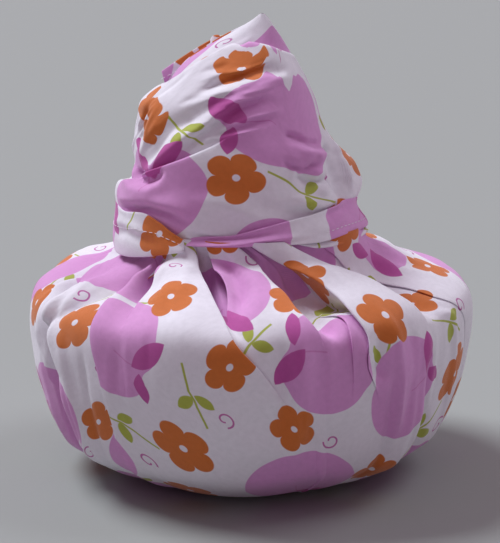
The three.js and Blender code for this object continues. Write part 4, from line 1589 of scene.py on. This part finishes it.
def sprig(place, x, y, turn, reach):
    """Where a sprig is. reach is how far its stem goes to either side."""
    s = place[0].shader
    u, v = nearest_copy(place, x, y, turn, 1.0)
    stem = s.inside(abs(v - u * u * (0.12 / reach)) - 0.5) * s.inside(abs(u) - reach)
    upper = leaf(u, v, (2.5, 4.3), 65.0, 4.6, 2.5, 1.0)
    lower = leaf(u, v, (3.5, -3.9), -40.0, 4.4, 2.3, 1.0)
    return s.most(stem, s.most(upper, lower))


def tendril(place, x, y, turn, size):
    """Where a tendril's fine line is."""
    s = place[0].shader
    u, v = nearest_copy(place, x, y, turn, size)
    wanted = s.bearing(u, v) * (0.32 / math.pi) + 0.58
    return s.inside((abs(s.hypot(u, v) - wanted) - 0.09) * size, soft=0.16)


print(len(SPRIGS), "sprigs and", len(TENDRILS), "tendrils in a repeat")

# %% Print the motifs over each other
SEAM_SHADE = 0.45  # how strongly the fruit's seam shows


def printed(place, ground):
    """The print's colour over the ground, the finest lines first and the blossoms last."""
    s, colour = place[0].shader, ground
    for spot in TENDRILS:
        colour = s.mix(tendril(place, **spot), colour, INK["tendril"])
    for spot in SPRIGS:
        colour = s.mix(sprig(place, **spot), colour, INK["sprig"])
    for spot in FRUIT:
        body, leaves_of_it, seam = fruit(place, **spot)
        colour = s.mix(body, colour, INK["fruit"])
        colour = s.mix(seam * SEAM_SHADE, colour, INK["leaf"])
        colour = s.mix(leaves_of_it, colour, INK["leaf"])
    for spot in BLOSSOMS:
        petals, eye = blossom(place, **spot)
        colour = s.mix(petals, colour, INK["blossom"])
        colour = s.mix(eye, colour, INK["ground"])
    return colour


print("the repeat is", REPEAT["width"], "by", REPEAT["height"], "mm")

# %% [markdown]
# ## The cotton
#
# The cloth is a plain weave: two sets of threads cross at right angles, each a little lighter or darker
# than the next. Threads as real geometry would be millions of faces, so two sine waves on the flat cloth
# stand for them, in the colour and in the bump. A broad, faint crumple keeps the light from lying too
# evenly. Cotton is matt, with a little sheen from its loose fibres.

# %% The printed cotton
THREAD = 0.52  # millimetres from one thread to the next
WEAVE_SHADE, SLUB_SHADE = 0.09, 0.16  # how much the threads and their uneven thickness change the colour
WEAVE_BUMP, CRUMPLE_BUMP, SLUB_BUMP = 0.00004, 0.0006, 0.00008  # in metres


def printed_cotton():
    s = Shader("printed_cotton")
    flat = s.node("ShaderNodeUVMap", uv_map="flat_cloth")
    x, y = (s.node("ShaderNodeSeparateXYZ", {"Vector": flat}, output=i) * 1000.0 for i in (0, 1))
    weave = s.sin(x * (2 * math.pi / THREAD)) * s.sin(y * (2 * math.pi / THREAD))
    slub, crumple = s.noise(flat, 420.0, 3.0), s.noise(flat, 70.0, 4.0)
    shade = 1.0 - (weave * WEAVE_SHADE + (slub - 0.5) * SLUB_SHADE)
    colour = printed((x, y), INK["ground"])
    colour = s.node("ShaderNodeHueSaturation", {"Value": shade, "Color": colour})
    height = weave * WEAVE_BUMP + crumple * CRUMPLE_BUMP + slub * SLUB_BUMP
    bump = s.node("ShaderNodeBump", {"Strength": 0.8, "Distance": 1.0, "Height": height})
    return s.wear(Base_Color=colour, Normal=bump, Roughness=0.82, Specular_IOR_Level=0.25,
                  Sheen_Weight=0.25, Sheen_Roughness=0.5)


cotton = printed_cotton()
print("printed cotton:", len(cotton.node_tree.nodes), "nodes")

# %% Dress the cloth pieces
cloth_pieces = [bundle, turban, cap]
cloth_pieces += [made[0] for made in bands.values()]
cloth_pieces += [piece for piece, points in leaves]
for piece in cloth_pieces:
    piece.data.materials.append(cotton)
print([piece.name for piece in cloth_pieces])

# %% [markdown]
# ## The hem's stitches
#
# A hem is held by a row of machine stitches: short beads of thread with a hole between each and the next.
# An Array along a curve bends its beads, and a bump has no thickness. A Geometry Nodes tree does it
# better: a line along the hem is cut into even steps, and each step gets a bead that lies along the
# line. Its pitch, length and thickness are its own named inputs, and its seed is fixed. Its result is then
# kept as a plain mesh.

# %% Build the stitch tree
STITCH = {"Pitch": 3.0 * MM, "Length": 2.1 * MM, "Thickness": 0.34 * MM}
STITCH_SEED = 4


def stitch_tree(thread):
    tree = bpy.data.node_groups.new("stitch_row", "GeometryNodeTree")
    tree.interface.new_socket("Geometry", in_out="INPUT", socket_type="NodeSocketGeometry")
    for name, size in STITCH.items():
        socket = tree.interface.new_socket(name, in_out="INPUT", socket_type="NodeSocketFloat")
        socket.default_value = size
    seed = tree.interface.new_socket("Seed", in_out="INPUT", socket_type="NodeSocketInt")
    seed.default_value = STITCH_SEED
    tree.interface.new_socket("Geometry", in_out="OUTPUT", socket_type="NodeSocketGeometry")
    given, result = tree.nodes.new("NodeGroupInput"), tree.nodes.new("NodeGroupOutput")

    def node(kind, links, **settings):
        made = tree.nodes.new(kind)
        for name, setting in settings.items():
            setattr(made, name, setting)
        for name, source in links.items():
            if hasattr(source, "is_output"):
                tree.links.new(source, made.inputs[name])
            else:
                made.inputs[name].default_value = source
        return made.outputs

    line = node("GeometryNodeMeshToCurve", {"Mesh": given.outputs["Geometry"]})
    pitch = {"Curve": line[0], "Length": given.outputs["Pitch"]}
    steps = node("GeometryNodeCurveToPoints", pitch, mode="LENGTH")
    along = node("FunctionNodeAlignRotationToVector", {"Vector": steps["Tangent"]}, axis="X")
    bead = node("GeometryNodeMeshUVSphere", {"Segments": 10, "Rings": 8, "Radius": 0.5})
    thickness = given.outputs["Thickness"]
    sizes = node("ShaderNodeCombineXYZ", {"X": given.outputs["Length"], "Y": thickness, "Z": thickness})
    limits = {2: 0.88, 3: 1.08, "Seed": given.outputs["Seed"]}
    vary = node("FunctionNodeRandomValue", limits, data_type="FLOAT")
    scale = node("ShaderNodeVectorMath", {0: sizes[0], "Scale": vary[1]}, operation="SCALE")
    beads = node("GeometryNodeInstanceOnPoints", {
        "Points": steps["Points"], "Instance": bead["Mesh"], "Rotation": along[0], "Scale": scale[0]})
    real = node("GeometryNodeRealizeInstances", {"Geometry": beads[0]})
    smooth = node("GeometryNodeSetShadeSmooth", {"Geometry": real[0]})
    final = node("GeometryNodeSetMaterial", {"Geometry": smooth[0], "Material": thread})
    tree.links.new(final[0], result.inputs[0])
    return tree


print("a stitch is", round(STITCH["Length"] / STITCH["Pitch"], 2), "of its step")

# %% The thread's finish
def white_thread():
    s = Shader("white_thread")
    twist = s.noise(s.node("ShaderNodeTexCoord", output="Object"), 2600.0, 2.0)
    bump = s.node("ShaderNodeBump", {"Strength": 0.5, "Distance": 1.0, "Height": twist * 0.0001})
    return s.wear(Base_Color=(0.86, 0.83, 0.88, 1.0), Roughness=0.7, Normal=bump)


stitching = stitch_tree(white_thread())
print("stitch tree:", len(stitching.nodes), "nodes")

# %% Turn a line of points into stitches
def stitch_row(name, line):
    """Stitches along a line of points in millimetres, as a plain mesh."""
    mesh = bpy.data.meshes.new(name + "_line")
    places = (np.asarray(line) + AXIS_OFFSET) * MM
    mesh.from_pydata(places.tolist(), [(i, i + 1) for i in range(len(places) - 1)], [])
    guide = bpy.data.objects.new(name + "_line", mesh)
    scene.collection.objects.link(guide)
    modifier = guide.modifiers.new("stitches", "NODES")
    modifier.node_group = stitching
    inputs = [item for item in stitching.interface.items_tree if item.in_out == "INPUT"]
    sockets = {item.name: item.identifier for item in inputs}
    modifier[sockets["Pitch"]] = STITCH["Pitch"]
    bpy.context.view_layer.update()
    made = bpy.data.meshes.new_from_object(guide.evaluated_get(bpy.context.evaluated_depsgraph_get()))
    made.name = name
    bpy.data.objects.remove(guide)
    piece = bpy.data.objects.new(name, made)
    scene.collection.objects.link(piece)
    return piece


print("stitches every", STITCH["Pitch"] / MM, "mm")

# %% [markdown]
# A hem's stitches run at an even height over its edge, on the face of the cloth. `height_line` finds that
# line on a band's grid. On the free end the line climbs and sinks with the twist.

# %% Sew the hems
FACE_ROWS = slice(FIRST_FACE_ROW, LOW_EDGE + 1)  # a band's rows down its outer face
PROUD = 0.12  # how far a stitch stands off the cloth
MAIN_SEAM = {"from": 44.0, "to": 172.0, "above_edge": 3.4}
END_SEAM = {"from": -118.0, "to": -27.0,
            "azimuth": [-118, -52, -40, -33, -27], "above_edge": [11.5, 12.5, 9.5, 6.2, 3.4]}
LEAF_SEAM_ROW = 17


def height_line(points, columns, above):
    """Places on a band's face at the given lengths above its lower edge, a little proud of the cloth."""
    face = points[FACE_ROWS][::-1, columns]
    up = lengths_along(face, axis=0)
    above = np.broadcast_to(above, face.shape[1:2])
    line = np.stack([
        [np.interp(above[j], up[:, j], face[:, j, axis]) for axis in range(3)]
        for j in range(face.shape[1])
    ])
    outward = line * (1.0, 1.0, 0.0)
    return line + PROUD * outward / np.linalg.norm(outward, axis=1)[:, None]


def seams():
    """The stitches' lines by the names of their pieces."""
    main, end = bands["collar_main"], bands["collar_end"]
    right = np.flatnonzero((main[2] > MAIN_SEAM["from"]) & (main[2] < MAIN_SEAM["to"]))
    left = np.flatnonzero((end[2] > END_SEAM["from"]) & (end[2] < END_SEAM["to"]))
    slant = np.interp(end[2][left], END_SEAM["azimuth"], END_SEAM["above_edge"])
    lines = {
        "collar_main_stitches": height_line(main[1], right, MAIN_SEAM["above_edge"]),
        "collar_end_stitches": height_line(end[1], left, slant),
    }
    for piece, points in leaves[:2]:
        lines[piece.name + "_stitches"] = points[LEAF_SEAM_ROW] + (0.0, -0.15, 0.0)
    return lines


stitches = {name: stitch_row(name, line) for name, line in seams().items()}
print("stitches:", {name: len(piece.data.polygons) for name, piece in stitches.items()})

# %% [markdown]
# ## The stage
#
# The wrap stands by a window: broad cool light from above and behind on the left, a weaker one from the
# right, a little fill from the front, and a dim, faintly pink surround for what the cloth throws back on
# itself. Area lights would make a bright pool on the floor. Sun lights with a wide angle give the same
# soft shadows and an even floor.

# %% Floor
FLOOR_DROP = -0.0003  # metres; the floor lies just under the cloth, so the two surfaces never coincide


def pale_floor():
    mesh = bpy.data.meshes.new("floor")
    mesh.from_pydata([(-4, -4, 0), (4, -4, 0), (4, 4, 0), (-4, 4, 0)], [], [(0, 1, 2, 3)])
    made = bpy.data.objects.new("floor", mesh)
    scene.collection.objects.link(made)
    made.location = (0.0, 0.0, FLOOR_DROP)
    mesh.materials.append(Shader("pale_floor").wear(Base_Color=(0.315, 0.333, 0.318, 1.0), Roughness=0.8))
    return made


floor = pale_floor()
print("floor at", FLOOR_DROP / MM, "mm")

# %% World and lights
WINDOW_LIGHT = (0.90, 0.95, 1.0)
WHITE_LIGHT = (1.0, 1.0, 1.0)
LIGHTS = rows_of(
    "name towards spread strength colour",
    ("left_window", (-0.60, 0.36, 1.0), 26.0, 3.1, WINDOW_LIGHT),
    ("right_window", (0.75, 0.28, 1.0), 30.0, 0.8, WINDOW_LIGHT),
    ("front_fill", (0.8, -1.0, 0.9), 70.0, 0.10, WHITE_LIGHT),
)


def sun_light(name, towards, spread, strength, colour):
    """A soft light, the same all over the floor. towards points at it, and spread is its width in degrees."""
    data = bpy.data.lights.new(name, "SUN")
    data.angle, data.energy, data.color = math.radians(spread), strength, colour
    light = bpy.data.objects.new(name, data)
    scene.collection.objects.link(light)
    tilt = math.atan2(math.hypot(towards[0], towards[1]), towards[2])
    light.rotation_euler = (tilt, 0.0, math.atan2(towards[0], -towards[1]))
    return light


world = bpy.data.worlds.new("studio")
world.use_nodes = True
world.node_tree.nodes["Background"].inputs[0].default_value = (0.98, 0.65, 0.84, 1.0)
world.node_tree.nodes["Background"].inputs[1].default_value = 0.26
scene.world = world
lights = [sun_light(**row) for row in LIGHTS]
scene.view_settings.view_transform = "Standard"
print("lights:", [light.name for light in lights])

# %% [markdown]
# ## The pieces on the wrap's body
#
# Each piece rides on the wrap's one body and stands for the packed solid.

# %% Ride and replace
for piece in [*cloth_pieces, *stitches.values()]:
    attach(piece, "root")
    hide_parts("wrap_cloth")
print(len(cloth_pieces), "sheets and", len(stitches), "rows of stitches")

# %% [markdown]
# Each sheet is a share of the one square. Its flat size in metres is what a maker would cut for it, and
# `area`, in square metres, is given where that share isn't a plain rectangle.

CUTS = rows_of(
    "piece flat area held",
    ("bundle_cloth", (0.43, 0.43), 0.145, "gathered"),
    ("turban_cloth", (0.34, 0.16), 0.040, "gathered"),
    ("cap_cloth", (0.12, 0.06), 0.005, "gathered"),
    ("collar_main", (0.33, 0.03), None, "gathered"),
    ("collar_end", (0.15, 0.04), None, "folded"),
    ("collar_under", (0.10, 0.022), None, "folded"),
    ("outer_leaf", (0.036, 0.027), None, "gathered"),
    ("inner_leaf", (0.036, 0.027), None, "gathered"),
    ("corner_tip", (0.01, 0.01), 0.00008, "gathered"),
)
for cut in CUTS:
    piece = bpy.data.objects[cut["piece"]]
    sewn = [row for name, row in stitches.items() if name == cut["piece"] + "_stitches"]
whole = sum(cut["area"] or math.prod(cut["flat"]) for cut in CUTS)
print("cloth in view, laid flat:", round(whole, 3), "square metres")
